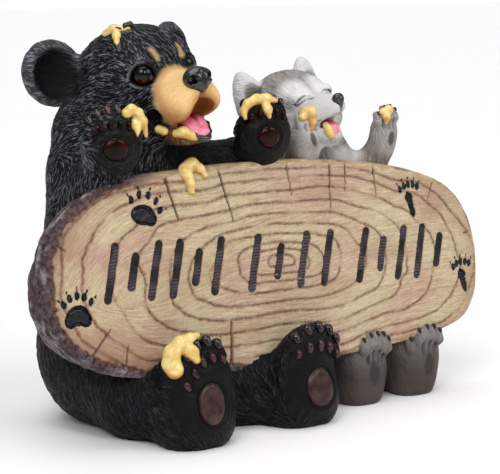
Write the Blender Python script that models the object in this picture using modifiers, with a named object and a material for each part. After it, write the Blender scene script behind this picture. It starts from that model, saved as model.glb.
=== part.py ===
# Welcome figurine: a black bear cub and a grey cub sit behind a slice of log and hold it up as a sign.
# It is cast in one piece, so it is one closed solid. Sizes are in millimetres until a form becomes a mesh.
# The sign faces -Y and +Z is up. The figurine stands on z = 0, with the origin under the middle of its box.

import math

import bmesh
import bpy
from mathutils import Euler, Matrix, Vector, noise

MM = 0.001

# ---- driving dimensions -------------------------------------------------------------------------------------

SIGN = dict(
    centre=(0, -36, 90),      # middle of the carved face
    lean=7,                   # degrees that its top leans back
    thickness=22,
    bark_swell=1.6,           # how far the bark stands out past the carved face
    bark_ridge=1.3,
    outline=[(-149, 4), (-147, 20), (-138, 34), (-119, 47), (-90, 54), (-40, 57), (10, 57.5), (60, 53.5),
             (100, 46), (129, 34), (144, 15), (149, -10), (144, -36), (126, -49), (80, -55), (20, -57.5),
             (-40, -56.5), (-88, -53), (-120, -44), (-141, -29), (-149, -12)],
)

# Rows of slanted strokes where a sign has its words: first and last stroke across the face, and how many.
STROKES = dict(rows=[(-116, -42, 6), (-17, 34, 4), (60, 118, 5)], depth=1.6, width=5, tall=32, short=20,
               slant=14, fall=2)

# Tracks pressed into the face: place and lean of the pad, its radii, and the fan of toes round it.
TRACKS = dict(
    depth=1.5,
    toe=(1.7, 2.7),
    places=[dict(at=(-88, 34), lean=10, pad=(7, 6), middle_toe=22, step=30, reach=11),
            dict(at=(-132, -15), lean=0, pad=(7.4, 6), middle_toe=0, step=26, reach=10.4),
            dict(at=(99, 25.5), lean=-19, pad=(2.8, 8.4), middle_toe=-4, step=17, reach=12.4),
            dict(at=(136.5, -23.5), lean=-16, pad=(2.8, 8), middle_toe=-5, step=17, reach=12)],
)

# Drying cracks from the rim inwards: start and end on the face.
CRACKS = dict(depth=1.4, width=1.3, lines=[((-38, -57), (-36, -29)), ((-130, -42), (-113, -24)),
                                           ((-74, 57), (-66, 30)), ((40, 56), (38.5, 29)), ((71, 53), (73, 34))])

# A form is a ball (middle, radii) or a limb: a chain of (x, y, z, radius).
BEAR_BALLS = dict(
    haunches=((-66, 22, 48), (50, 42, 52)),
    chest=((-68, 18, 112), (43, 37, 50)),
    neck=((-68, 14, 158), (33, 28, 24)),
    mane=((-78, 24, 162), (30, 25, 28)),
    belly=((-52, 18, 82), (42, 38, 42)),
    tail=((-66, 63, 34), (9, 9, 8)),
)
BEAR_LIMBS = dict(
    back=[(-66, 20, 50, 46), (-68, 18, 110, 39), (-70, 18, 152, 30)],
    right_arm=[(-100, 14, 142, 18), (-106, 6, 112, 15), (-104, -14, 140, 14)],
    left_arm=[(-40, 10, 144, 17), (-18, 0, 138, 15), (-6, -13, 148, 13)],
    right_leg=[(-80, 18, 36, 36), (-80, -18, 26, 27), (-73, -44, 21, 20)],
    left_leg=[(-38, 18, 36, 36), (-24, -16, 22, 26), (4, -40, 20, 21)],
)
BEAR_HEAD = dict(
    at=(-66, 10, 188), turn=5, nod=4, roll=9,
    balls=dict(
        skull=((0, 0, 1), (37, 32, 35)),
        forehead=((0, -10, 10), (28, 24, 24)),
        right_cheek=((-19, -8, -13), (18, 18, 17)),
        left_cheek=((19, -8, -13), (18, 18, 17)),
        muzzle_root=((0, -32, -4), (18, 18, 15)),
        muzzle=((0, -44, -4), (17, 15, 13.5)),
        right_lip=((-8, -46, -9), (10, 12, 9)),
        left_lip=((8, -46, -9), (10, 12, 9)),
        nose=((0, -57, 4), (8.5, 5, 6.5)),
        right_eye=((-18, -26.5, 10), (6, 6, 6)),
        left_eye=((18, -26.5, 10), (6, 6, 6)),
        jaw=((0, -26, -22), (15, 20, 9)),
        lower_lip=((0, -44, -26), (10, 9, 5)),
        tongue=((0, -40, -21), (7.5, 14, 3.5)),
    ),
    mouth=((0, -56, -13), (8, 15, 7)),
    ears=[dict(at=(-42, 15, 18), turn=-20, roll=14), dict(at=(40, 17, 14), turn=20, roll=-8)],
    ear=dict(chain=[(0, 0, -3, 15.5), (0, 0, 3, 15.5)], flat=0.42, hollow=(10.5, 5, 12.5)),
)
CUB_BALLS = dict(
    haunches=((74, 14, 40), (42, 33, 44)),
    belly=((62, 14, 76), (44, 32, 40)),
    chest=((62, 12, 98), (33, 27, 52)),
    neck=((54, 6, 144), (22, 19, 20)),
    shoulder=((70, 8, 142), (17, 14, 13)),
    tail=((80, 44, 22), (9, 10, 8)),
)
CUB_LIMBS = dict(
    back=[(73, 14, 42, 36), (64, 12, 95, 29), (56, 8, 140, 20)],
    right_arm=[(40, 8, 138, 12), (30, -4, 128, 10), (28, -17, 146, 9)],
    left_arm=[(72, 8, 136, 12), (84, -2, 126, 11), (86, -17, 146, 8.5)],
    right_leg=[(58, 12, 30, 30), (66, -12, 18, 19), (66, -26, 15, 14)],
    left_leg=[(92, 12, 30, 27), (104, -10, 18, 19), (107, -24, 15, 14)],
)
CUB_HEAD = dict(
    at=(36, 4, 172), turn=2, nod=11, roll=11,
    balls=dict(
        skull=((0, 0, 0), (26, 24, 23)),
        brow=((0, -11, 3), (17, 13, 11)),
        right_cheek=((-13, -10, -9), (13, 13, 12)),
        left_cheek=((13, -10, -9), (13, 13, 12)),
        muzzle_root=((0, -26, -4), (12, 13, 9)),
        muzzle=((0, -36, -5), (8.5, 11, 7)),
        nose=((0, -45, -1.5), (4.5, 4, 4)),
        jaw=((0, -22, -17), (9, 14, 6)),
        chin=((0, -31, -19), (6, 5, 4)),
        tongue=((0, -31, -15), (4.5, 9, 2.5)),
    ),
    mouth=((0, -42, -12), (5, 12, 2)),
    ears=[dict(at=(-21, 6, 14), turn=-12, roll=10), dict(at=(20, 5, 13), turn=12, roll=-8)],
    ear=dict(chain=[(0, 0, -8, 11), (0, 0, 4, 9.5), (0, 0, 15, 2.5)], flat=0.45, hollow=(6, 3, 10)),
)

# A paw: where its palm is, which way it faces, radii of the palm, toes across its top, radius of its heel.
BEAR_PAWS = [
    dict(at=(-103, -24, 160), turn=0, nod=0, roll=0, palm=(17.5, 13, 21), toes=4, toe=5.5, heel=0),
    dict(at=(-4, -24, 162), turn=0, nod=0, roll=0, palm=(18, 13, 20), toes=4, toe=5.5, heel=0),
    dict(at=(-70, -55, 32), turn=-8, nod=-4, roll=20, palm=(21, 12, 26), toes=5, toe=6, heel=18),
    dict(at=(5, -50, 31), turn=8, nod=-4, roll=-4, palm=(22, 12, 26), toes=5, toe=6, heel=18),
]
CUB_PAWS = [
    dict(at=(28, -21, 156), turn=0, nod=0, roll=0, palm=(10, 8, 16), toes=4, toe=3.5, heel=0),
    dict(at=(87, -21, 157), turn=0, nod=0, roll=-4, palm=(9, 7, 13), toes=4, toe=3.5, heel=0),
    dict(at=(66, -34, 21), turn=0, nod=-8, roll=0, palm=(14.5, 9, 18), toes=5, toe=4.2, heel=11),
    dict(at=(107, -31, 21), turn=0, nod=-8, roll=0, palm=(14.5, 9, 18), toes=5, toe=4.2, heel=11),
]

# Honey runs down as thick drips, each a limb; the bee sits in its own pool on the bear's head.
HONEY = dict(
    right_paw=[(-101, -36, 180.5, 3.5), (-97, -37, 178, 4), (-94, -38, 173, 4), (-96, -38, 167, 2)],
    right_paw_drip=[(-94, -38, 174, 3.5), (-90, -37, 166, 2)],
    left_paw=[(-26, -33, 174, 2.2), (-23, -34, 181, 3.5), (-13, -34, 184, 4.5), (-8, -36, 181, 3.5), (-9, -37, 175, 2)],
    chin=[(-69, -36, 168, 3.5), (-63, -40, 168, 4), (-57, -41, 165, 3)],
    chin_drop=[(-75, -20, 173, 4), (-79, -29, 170, 3.5), (-79, -31, 168, 2.5)],
    sign_top=[(-62, -31, 147, 4), (-57, -31, 149, 4.5), (-52, -32, 144, 3)],
    sign_drip=[(-62, -31, 145, 4), (-60.5, -33, 138, 3)],
    foot=[(-77, -67, 59, 3), (-85, -66, 58, 5), (-92, -62, 52, 5), (-93, -62, 45, 5.5), (-87, -66, 44, 4.5)],
    foot_drip=[(-84, -68, 55, 4), (-78, -69, 50, 2.8)],
    cub_hand=[(21, -28, 172, 3), (25, -29, 174, 3.5), (25, -30, 166, 2.5)],
    cub_mouth=[(32, -33, 166, 2.5), (36, -34, 160, 2.2)],
    cub_fingers=[(79, -27, 171, 3), (85, -27, 171, 3), (80, -29, 166, 2.2)],
    pool=[(-88, 2, 221, 3), (-81, 1, 222, 3.2), (-75, 2, 221.5, 3), (-70, 3, 221, 2.2)],
    pool_drop=[(-83, -3, 219, 2.2), (-83, -6, 216, 2.4)],
)
BEE = [(-79, 2, 224, 1.8), (-75, 2, 224.5, 2.6)]

PROUD = -0.35                                   # a groove's middle lies this far in front of the face
FUSE = dict(figure=1.6, honey=1.2)              # remesh sizes
FACES = dict(bear=3440, cub=1660, honey=400)    # triangles left in each


# ---- small tools ---------------------------------------------------------------------------------------------

def empty_scene():
    for obj in list(bpy.data.objects):
        bpy.data.objects.remove(obj)


def new_collection(name):
    collection = bpy.data.collections.new(name)
    bpy.context.scene.collection.children.link(collection)
    return collection


def paint(name, colour, roughness):
    material = bpy.data.materials.new(name)
    material.use_nodes = True
    shader = material.node_tree.nodes["Principled BSDF"]
    shader.inputs["Base Color"].default_value = (*colour, 1)
    shader.inputs["Roughness"].default_value = roughness
    shader.inputs["Metallic"].default_value = 0.0
    material.diffuse_color = (*colour, 1)
    return material


def pose(at, turn=0, nod=0, roll=0):
    """A frame that looks along -Y, turned towards +X, with its front lifted by nod and its +X side by roll."""
    spin = Euler((0, 0, math.radians(turn))).to_matrix()
    lift = Euler((math.radians(-nod), 0, 0)).to_matrix()
    tip = Euler((0, math.radians(-roll), 0)).to_matrix()
    return Matrix.Translation(at) @ (spin @ lift @ tip).to_4x4()


def ball(clay, middle, radii, frame=Matrix(), sides=20):
    place = frame @ Matrix.Translation(middle) @ Matrix.Diagonal((*radii, 1))
    bmesh.ops.create_uvsphere(clay, u_segments=sides, v_segments=sides * 2 // 3, radius=1, matrix=place)


def limb(clay, chain, frame=Matrix(), sides=20):
    for x, y, z, radius in chain:
        ball(clay, (x, y, z), (radius,) * 3, frame, sides)
    for start, end in zip(chain, chain[1:]):
        a, b = Vector(start[:3]), Vector(end[:3])
        along = (b - a).to_track_quat("Z", "Y").to_matrix().to_4x4()
        bmesh.ops.create_cone(clay, cap_ends=True, segments=sides, radius1=start[3], radius2=end[3],
                              depth=(b - a).length, matrix=frame @ Matrix.Translation((a + b) / 2) @ along)


def solid(name, clay, collection, material):
    """Turns the forms into an object, in metres."""
    clay.transform(Matrix.Scale(MM, 4))
    bmesh.ops.recalc_face_normals(clay, faces=clay.faces)
    mesh = bpy.data.meshes.new(name)
    clay.to_mesh(mesh)
    clay.free()
    mesh.materials.append(material)
    obj = bpy.data.objects.new(name, mesh)
    collection.objects.link(obj)
    return obj


def boolean(obj, other, operation):
    modifier = obj.modifiers.new(f"{operation.lower()} {other.name}", "BOOLEAN")
    modifier.operation = operation
    modifier.object = other
    modifier.solver = "EXACT"
    modifier.material_mode = "TRANSFER"
    other.hide_render = True
    other.display_type = "WIRE"


def fuse(obj, voxel, soften):
    """Melts the overlapping forms into one skin and softens the creases between them."""
    remesh = obj.modifiers.new("fuse", "REMESH")
    remesh.mode = "VOXEL"
    remesh.voxel_size = voxel * MM
    smooth = obj.modifiers.new("soften", "SMOOTH")
    smooth.iterations = soften
    smooth.factor = 0.5


def lighten(obj, faces):
    depsgraph = bpy.context.evaluated_depsgraph_get()
    heavy = obj.evaluated_get(depsgraph).to_mesh()
    heavy.calc_loop_triangles()
    obj.modifiers.new("lighten", "DECIMATE").ratio = faces / len(heavy.loop_triangles)


# ---- the figures ---------------------------------------------------------------------------------------------

def paw(clay, at, turn, nod, roll, palm, toes, toe, heel):
    """A raised paw, or an upright foot seen from its sole, with its pads, toes and claws."""
    frame = pose(at, turn, nod, roll)
    wide, deep, tall = palm
    ball(clay, (0, 0, 0), palm, frame)
    ball(clay, (0, -0.75 * deep, -0.12 * tall), (0.5 * wide, 0.35 * deep, 0.42 * tall), frame)
    if heel:
        x, y = at[0], at[1] + 0.25 * deep
        limb(clay, [(x - 0.2 * wide, y, heel - 5, heel), (x + 0.25 * wide, y, heel - 5, heel)])
    for number in range(toes):
        angle = math.radians(44 * (2 * number / (toes - 1) - 1))
        x, y, z = 0.86 * wide * math.sin(angle), -0.35 * deep, 0.82 * tall * math.cos(angle)
        ball(clay, (x, y, z), (toe, toe, toe * 1.15), frame, 14)
        ball(clay, (x, y - toe * 0.7, z - toe * 0.5), (toe * 0.5, toe * 0.5, toe * 0.6), frame, 12)
        claw = [(x, y - toe * 0.4, z + toe * 0.8, toe * 0.36), (x, y - toe * 1.2, z + toe * 0.9, toe * 0.22)]
        limb(clay, claw, frame, 10)


def head(clay, hollows, at, turn, nod, roll, balls, mouth, ears, ear):
    frame = pose(at, turn, nod, roll)
    for middle, radii in balls.values():
        ball(clay, middle, radii, frame)
    ball(hollows, *mouth, frame)
    for place in ears:
        root = frame @ pose(**place)
        limb(clay, ear["chain"], root @ Matrix.Diagonal((1, ear["flat"], 1, 1)))
        front = -ear["flat"] * ear["chain"][0][3]
        ball(hollows, (0, front, 0), ear["hollow"], root)


def figure(name, balls, limbs, head_form, paws, collection, material):
    clay, hollows = bmesh.new(), bmesh.new()
    for middle, radii in balls.values():
        ball(clay, middle, radii)
    for chain in limbs.values():
        limb(clay, chain)
    head(clay, hollows, **head_form)
    for form in paws:
        paw(clay, **form)
    obj = solid(name, clay, collection, material)
    fuse(obj, FUSE["figure"], soften=3)
    boolean(obj, solid(f"{name}_hollows", hollows, collection, material), "DIFFERENCE")
    lighten(obj, FACES[name])
    return obj


def honey_and_bee(collection, material):
    clay = bmesh.new()
    for chain in list(HONEY.values()) + [BEE]:
        limb(clay, chain, sides=12)
    obj = solid("honey", clay, collection, material)
    fuse(obj, FUSE["honey"], soften=2)
    lighten(obj, FACES["honey"])
    return obj


# ---- the sign ------------------------------------------------------------------------------------------------

def face_frame():
    """The face's own frame: x along the sign, y into the wood, z up the face."""
    return Matrix.Translation(SIGN["centre"]) @ Matrix.Rotation(math.radians(-SIGN["lean"]), 4, "X")


def smooth_loop(points, steps=4):
    """A closed Catmull-Rom curve through the points, with a number of steps from one to the next."""
    loop = []
    for i in range(len(points)):
        p0, p1, p2, p3 = (Vector(points[(i + k) % len(points)]) for k in (-1, 0, 1, 2))
        for t in (step / steps for step in range(steps)):
            loop.append(0.5 * (2 * p1 + (p2 - p0) * t + (2 * p0 - 5 * p1 + 4 * p2 - p3) * t ** 2
                               + (3 * p1 - p0 - 3 * p2 + p3) * t ** 3))
    return loop


def log_slice(name, collection, material):
    """The carved face and its back are flat; between them the bark swells out in ridges."""
    clay = bmesh.new()
    frame = face_frame()
    loop = smooth_loop(SIGN["outline"])
    thick = SIGN["thickness"]
    rings = []
    for depth, swell in ((0, 0), (0.15 * thick, 0.9), (0.85 * thick, 0.9), (thick, 0)):
        ring = []
        for point in loop:
            ridge = SIGN["bark_ridge"] * noise.noise(Vector((point.x, depth, point.y)) * 0.11)
            edge = point + point.normalized() * swell * (SIGN["bark_swell"] + ridge)
            ring.append(clay.verts.new(frame @ Vector((edge.x, depth, edge.y))))
        rings.append(ring)
    for near, far in zip(rings, rings[1:]):
        for i in range(len(loop)):
            clay.faces.new((near[i - 1], near[i], far[i], far[i - 1]))
    clay.faces.new(rings[0])
    clay.faces.new(rings[-1])
    bmesh.ops.triangulate(clay, faces=clay.faces)
    return solid(name, clay, collection, material)


def groove(clay, frame, middle, lean, radii, sides):
    """A boat-shaped cut into the face; lean tips its top to the right, in degrees."""
    place = frame @ Matrix.Translation((middle[0], PROUD, middle[1])) @ Matrix.Rotation(math.radians(lean), 4, "Y")
    ball(clay, (0, 0, 0), radii, place, sides)


def carving(collection, material):
    clay = bmesh.new()
    frame = face_frame()
    for first, last, count in STROKES["rows"]:
        for number in range(count):
            x = first + (last - first) * number / (count - 1)
            length = STROKES["tall"] if number % 3 != 1 else STROKES["short"]
            z = 1 - x * math.tan(math.radians(STROKES["fall"]))
            groove(clay, frame, (x, z), STROKES["slant"], (STROKES["width"] / 2, STROKES["depth"], length / 2), 6)
    for track in TRACKS["places"]:
        wide, tall = track["pad"]
        at = Vector(track["at"])
        groove(clay, frame, at, track["lean"], (wide, TRACKS["depth"], tall), 10)
        for toe in range(5):
            lean = track["middle_toe"] + track["step"] * (toe - 2)
            middle = at + Vector((math.sin(math.radians(lean)), math.cos(math.radians(lean)))) * track["reach"]
            wide, tall = TRACKS["toe"]
            groove(clay, frame, middle, lean, (wide, TRACKS["depth"], tall), 6)
    for start, end in CRACKS["lines"]:
        a, b = Vector(start), Vector(end)
        lean = math.degrees(math.atan2((b - a).x, (b - a).y))
        groove(clay, frame, (a + b) / 2, lean, (CRACKS["width"], CRACKS["depth"], (b - a).length / 2), 6)
    return solid("carving", clay, collection, material)


# ---- the statue ----------------------------------------------------------------------------------------------

def ground_block(collection, material):
    clay = bmesh.new()
    bmesh.ops.create_cube(clay, size=1, matrix=Matrix.Translation((0, 0, -25)) @ Matrix.Diagonal((400, 300, 50, 1)))
    return solid("ground_block", clay, collection, material)


def build():
    empty_scene()
    parts = new_collection("welcome_bear")
    forms = new_collection("forms")
    black = paint("black_fur_paint", (0.022, 0.022, 0.025), 0.45)
    grey = paint("grey_fur_paint", (0.38, 0.37, 0.36), 0.55)
    wood = paint("wood_paint", (0.62, 0.47, 0.28), 0.6)
    dark = paint("carved_paint", (0.05, 0.035, 0.03), 0.5)
    gold = paint("honey_paint", (0.83, 0.58, 0.1), 0.2)
    statue = log_slice("statue", parts, wood)
    boolean(statue, carving(forms, dark), "DIFFERENCE")
    boolean(statue, figure("bear", BEAR_BALLS, BEAR_LIMBS, BEAR_HEAD, BEAR_PAWS, forms, black), "UNION")
    boolean(statue, figure("cub", CUB_BALLS, CUB_LIMBS, CUB_HEAD, CUB_PAWS, forms, grey), "UNION")
    boolean(statue, honey_and_bee(forms, gold), "UNION")
    boolean(statue, ground_block(forms, black), "DIFFERENCE")


build()
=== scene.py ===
import math

import bmesh
import bpy
import numpy as np
import openvdb
from mathutils import Euler, Matrix, Vector


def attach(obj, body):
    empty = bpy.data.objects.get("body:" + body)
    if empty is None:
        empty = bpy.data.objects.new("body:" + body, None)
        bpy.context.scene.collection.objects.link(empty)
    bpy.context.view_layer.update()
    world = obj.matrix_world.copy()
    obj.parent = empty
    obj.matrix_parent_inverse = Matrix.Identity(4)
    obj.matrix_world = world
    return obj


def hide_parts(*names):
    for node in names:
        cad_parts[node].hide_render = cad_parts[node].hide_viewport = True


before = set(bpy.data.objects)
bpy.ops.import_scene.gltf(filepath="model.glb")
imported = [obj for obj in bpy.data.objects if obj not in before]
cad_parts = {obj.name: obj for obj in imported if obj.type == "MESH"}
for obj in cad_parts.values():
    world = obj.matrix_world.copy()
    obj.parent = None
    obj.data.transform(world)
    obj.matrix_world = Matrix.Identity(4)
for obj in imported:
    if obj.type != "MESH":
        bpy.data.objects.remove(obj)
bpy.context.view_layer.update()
print("frame loaded")

mm = 0.001
rng = np.random.default_rng(11)
lattice = rng.random((64, 64, 64), dtype=np.float32) * 2 - 1


# Distance clay: forms are melted together or cut away on a grid, then skinned.

def smoothStep(low, high, value):
    t = np.clip((value - low) / (high - low), 0, 1)
    return t * t * (3 - 2 * t)


def mixed(a, b, t):
    return a * (1 - t) + b * t


def noiseAt(points, size, shift=0.0):
    q = points / size + shift
    base = np.floor(q).astype(np.int32)
    f = (q - base).astype(np.float32)
    f = f * f * (3 - 2 * f)
    near, far = base & 63, (base + 1) & 63
    total = 0
    for corner in range(8):
        pick = [far[..., k] if corner >> k & 1 else near[..., k] for k in range(3)]
        share = 1
        for k in range(3):
            share = share * (f[..., k] if corner >> k & 1 else 1 - f[..., k])
        total = total + share * lattice[pick[0], pick[1], pick[2]]
    return total


# looks along -Y, turned to +X, front lifted by nod, +X side by roll
def placing(at=(0, 0, 0), turn=0, nod=0, roll=0):
    spin = Euler((0, 0, math.radians(turn))).to_matrix()
    lift = Euler((math.radians(-nod), 0, 0)).to_matrix()
    tip = Euler((0, math.radians(-roll), 0)).to_matrix()
    return Matrix.Translation(at) @ (spin @ lift @ tip).to_4x4()


def newClay(low, high, cell):
    low = np.array(low, float)
    count = np.ceil((np.array(high) - low) / cell).astype(int) + 1
    return dict(low=low, cell=cell, count=count, field=np.full(count, 9, np.float32))


def window(clay, low, high):
    start = np.clip(np.floor((np.array(low) - clay["low"]) / clay["cell"]).astype(int), 0, clay["count"])
    stop = np.clip(np.ceil((np.array(high) - clay["low"]) / clay["cell"]).astype(int) + 1, 0, clay["count"])
    if (stop <= start).any():
        return None, None
    axes = [clay["low"][k] + clay["cell"] * np.arange(start[k], stop[k], dtype=np.float32) for k in range(3)]
    space = (axes[0][:, None, None], axes[1][None, :, None], axes[2][None, None, :])
    return tuple(slice(a, b) for a, b in zip(start, stop)), space


def wholeSpace(clay):
    return window(clay, clay["low"], clay["low"] + clay["cell"] * clay["count"])[1]


def melt(clay, place, distance, blend, cut=False):
    old = clay["field"][place]
    new = -distance if cut else distance
    h = np.maximum(blend - np.abs(old - new), 0) / blend
    edge = h * h * blend * 0.25
    clay["field"][place] = np.maximum(old, new) + edge if cut else np.minimum(old, new) - edge


def localTo(frameMatrix, space):
    turn = np.array(frameMatrix.to_3x3(), np.float32)
    at = frameMatrix.translation
    d = [space[k] - np.float32(at[k]) for k in range(3)]
    return [turn[0, k] * d[0] + turn[1, k] * d[1] + turn[2, k] * d[2] for k in range(3)]


def ballDistance(local, radii):
    k0 = np.sqrt(sum((c / r) ** 2 for c, r in zip(local, radii))) + 1e-6
    k1 = np.sqrt(sum((c / (r * r)) ** 2 for c, r in zip(local, radii))) + 1e-9
    return k0 * (k0 - 1) / k1


def addBall(clay, middle, radii, within=Matrix(), blend=4.0, cut=False):
    place = within @ Matrix.Translation(middle)
    turn = np.array(place.to_3x3())
    reach = np.sqrt(((turn * np.array(radii)[None, :]) ** 2).sum(1)) + blend + 1.5
    at = np.array(place.translation)
    spot, space = window(clay, at - reach, at + reach)
    if spot:
        melt(clay, spot, ballDistance(localTo(place, space), radii), blend, cut)


def addLimb(clay, chain, within=Matrix(), blend=4.0, cut=False):
    for start, end in zip(chain, chain[1:]):
        a = np.array(within @ Vector(start[:3]))
        b = np.array(within @ Vector(end[:3]))
        reach = max(start[3], end[3]) + blend + 1.5
        spot, space = window(clay, np.minimum(a, b) - reach, np.maximum(a, b) + reach)
        if not spot:
            continue
        along = b - a
        d = [space[k] - np.float32(a[k]) for k in range(3)]
        t = np.clip(sum(d[k] * np.float32(along[k]) for k in range(3)) / float(along @ along + 1e-9), 0, 1)
        gap = np.sqrt(sum((d[k] - t * np.float32(along[k])) ** 2 for k in range(3)))
        melt(clay, spot, gap - (start[3] + (end[3] - start[3]) * t), blend, cut)


def keepSide(clay, point, outward):  # ends a piece at a plane, where it sinks just under its neighbour
    outward = np.array(outward, np.float32) / np.linalg.norm(outward)
    space, soft = wholeSpace(clay), 1.6
    side = sum((space[k] - np.float32(point[k])) * outward[k] for k in range(3))
    clay["field"] += (0.35 * smoothStep(-soft, soft, side)).astype(np.float32)
    clay["field"] = np.maximum(clay["field"], side - soft)


def skinOf(clay):
    grid = openvdb.FloatGrid(3.0)
    grid.copyFromArray(np.clip(clay["field"], -3, 3), tolerance=1e-4)
    points, triangles, quads = grid.convertToPolygons(isovalue=0, adaptivity=0)
    return points * clay["cell"] + clay["low"], triangles, quads


def toMesh(name, points, triangles, quads, material):
    mesh = bpy.data.meshes.new(name)
    mesh.vertices.add(len(points))
    mesh.vertices.foreach_set("co", (points * mm).astype(np.float32).ravel())
    loops = np.concatenate([np.asarray(triangles, np.int32).ravel(), np.asarray(quads, np.int32).ravel()])
    sides = np.concatenate([np.full(len(triangles), 3), np.full(len(quads), 4)]).astype(np.int32)
    mesh.loops.add(len(loops))
    mesh.loops.foreach_set("vertex_index", loops)
    mesh.polygons.add(len(sides))
    mesh.polygons.foreach_set("loop_start", np.concatenate([[0], np.cumsum(sides)[:-1]]).astype(np.int32))
    mesh.update(calc_edges=True)
    mesh.validate()
    mesh.polygons.foreach_set("use_smooth", np.ones(len(sides), bool))
    mesh.materials.append(material)
    piece = bpy.data.objects.new(name, mesh)
    bpy.context.scene.collection.objects.link(piece)
    return piece


def readOff(values, key):
    numbers = np.zeros(len(values) * 3, np.float32)
    values.foreach_get(key, numbers)
    return numbers.reshape(-1, 3)


def normalsOf(mesh):
    return readOff(mesh.vertex_normals, "vector")


def pointsOf(mesh):
    return readOff(mesh.vertices, "co") / mm


def moveTo(mesh, points):
    mesh.vertices.foreach_set("co", (points * mm).astype(np.float32).ravel())
    mesh.update()


def paintOn(mesh, name, values):
    layer = mesh.attributes.new(name, "FLOAT", "POINT")
    layer.data.foreach_set("value", np.clip(values, 0, 1).astype(np.float32))


def combOn(mesh, flow):  # keeps the way the coat or the grain runs
    layer = mesh.attributes.new("comb", "FLOAT_VECTOR", "POINT")
    layer.data.foreach_set("vector", flow.astype(np.float32).ravel())


def dropCrumbs(mesh, most):  # deletes closed pockets and crumbs of fewer faces than this
    work = bmesh.new()
    work.from_mesh(mesh)
    work.verts.ensure_lookup_table()
    label = np.arange(len(work.verts))
    ends = np.zeros(len(mesh.edges) * 2, np.int32)
    mesh.edges.foreach_get("vertices", ends)
    a, b = ends[::2], ends[1::2]
    while (label[a] != label[b]).any():
        low = np.minimum(label[a], label[b])
        np.minimum.at(label, a, low)
        np.minimum.at(label, b, low)
        label = label[label]
    kinds, counts = np.unique(label, return_counts=True)
    crumbs = np.isin(label, kinds[counts < most])
    bmesh.ops.delete(work, geom=[work.verts[k] for k in np.nonzero(crumbs)[0]], context="VERTS")
    work.to_mesh(mesh)
    work.free()


# thins the mesh where it is flattest, down to at most this many triangles
def finishPiece(piece, most=0, replacing=False, crumbs=0):
    piece.data.calc_loop_triangles()
    count = len(piece.data.loop_triangles)
    if most and count > most:
        thin = piece.modifiers.new("thin", "DECIMATE")
        thin.ratio = most / count
        depsgraph = bpy.context.evaluated_depsgraph_get()
        thinned = bpy.data.meshes.new_from_object(piece.evaluated_get(depsgraph), preserve_all_data_layers=True,
                                                  depsgraph=depsgraph)
        piece.modifiers.clear()
        piece.data = thinned
        thinned.polygons.foreach_set("use_smooth", np.ones(len(thinned.polygons), bool))
    if crumbs:
        dropCrumbs(piece.data, crumbs)
    piece.data.calc_loop_triangles()
    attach(piece, "root")
    if replacing:
        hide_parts("statue")
    print(piece.name, count, "->", len(piece.data.loop_triangles), "triangles")
    return piece


class Paint:  # one node material
    def __init__(self, name):
        self.material = bpy.data.materials.new(name)
        self.material.use_nodes = True
        self.nodes = self.material.node_tree.nodes
        self.links = self.material.node_tree.links
        self.shader = self.nodes["Principled BSDF"]
        self.place = self.nodes.new("ShaderNodeTexCoord").outputs["Object"]

    def link(self, value, socket):
        if hasattr(value, "links"):
            self.links.new(value, socket)
        elif isinstance(value, tuple) and len(value) == 3:
            socket.default_value = (*value, 1)
        else:
            socket.default_value = value
        return socket

    def attribute(self, name):
        node = self.nodes.new("ShaderNodeAttribute")
        node.attribute_name = name
        return node.outputs["Fac"]

    def noise(self, scale, detail=3.0, rough=0.6, stretch=None, spin=(0, 0, 0), source=None):
        node = self.nodes.new("ShaderNodeTexNoise")
        node.inputs["Scale"].default_value = scale
        node.inputs["Detail"].default_value = detail
        node.inputs["Roughness"].default_value = rough
        source = source or self.place
        if stretch:
            mapping = self.nodes.new("ShaderNodeMapping")
            mapping.inputs["Scale"].default_value = stretch
            mapping.inputs["Rotation"].default_value = spin
            self.links.new(source, mapping.inputs["Vector"])
            source = mapping.outputs["Vector"]
        self.links.new(source, node.inputs["Vector"])
        return node.outputs["Fac"]

    def streaks(self, scale, reach, steps):  # noise drawn out along the "comb" direction kept on the mesh
        way = self.nodes.new("ShaderNodeAttribute")
        way.attribute_name = "comb"
        total = None
        for number in range(steps):
            shift = self.nodes.new("ShaderNodeVectorMath")
            shift.operation = "MULTIPLY_ADD"
            self.links.new(way.outputs["Vector"], shift.inputs[0])
            shift.inputs[1].default_value = [reach * (number / (steps - 1) - 0.5)] * 3
            self.links.new(self.place, shift.inputs[2])
            grain = self.math("MULTIPLY", self.noise(scale, 0, source=shift.outputs[0]), 1 / steps)
            total = grain if total is None else self.math("ADD", total, grain)
        return total

    def math(self, operation, a, b=0.5):
        node = self.nodes.new("ShaderNodeMath")
        node.operation = operation
        node.use_clamp = True
        self.link(a, node.inputs[0])
        self.link(b, node.inputs[1])
        return node.outputs[0]

    def span(self, value, low, high, newLow=0.0, newHigh=1.0):
        node = self.nodes.new("ShaderNodeMapRange")
        for key, number in zip(("From Min", "From Max", "To Min", "To Max"), (low, high, newLow, newHigh)):
            node.inputs[key].default_value = number
        self.links.new(value, node.inputs["Value"])
        return node.outputs["Result"]

    def mix(self, share, a, b):
        node = self.nodes.new("ShaderNodeMix")
        node.data_type = "RGBA"
        self.link(share, node.inputs["Factor"])
        self.link(a, node.inputs[6])
        self.link(b, node.inputs[7])
        return node.outputs[2]

    def finish(self, colour, rough, height=None, depth=0.3, coat=0.0, coatRough=0.1, level=0.5):
        self.link(colour, self.shader.inputs["Base Color"])
        self.link(rough, self.shader.inputs["Roughness"])
        self.shader.inputs["Coat Weight"].default_value = coat
        self.shader.inputs["Coat Roughness"].default_value = coatRough
        self.shader.inputs["Specular IOR Level"].default_value = level
        if height is not None:
            bump = self.nodes.new("ShaderNodeBump")
            bump.inputs["Distance"].default_value = depth * mm
            bump.inputs["Strength"].default_value = 1.0
            self.links.new(height, bump.inputs["Height"])
            self.links.new(bump.outputs["Normal"], self.shader.inputs["Normal"])
        return self.material


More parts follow.
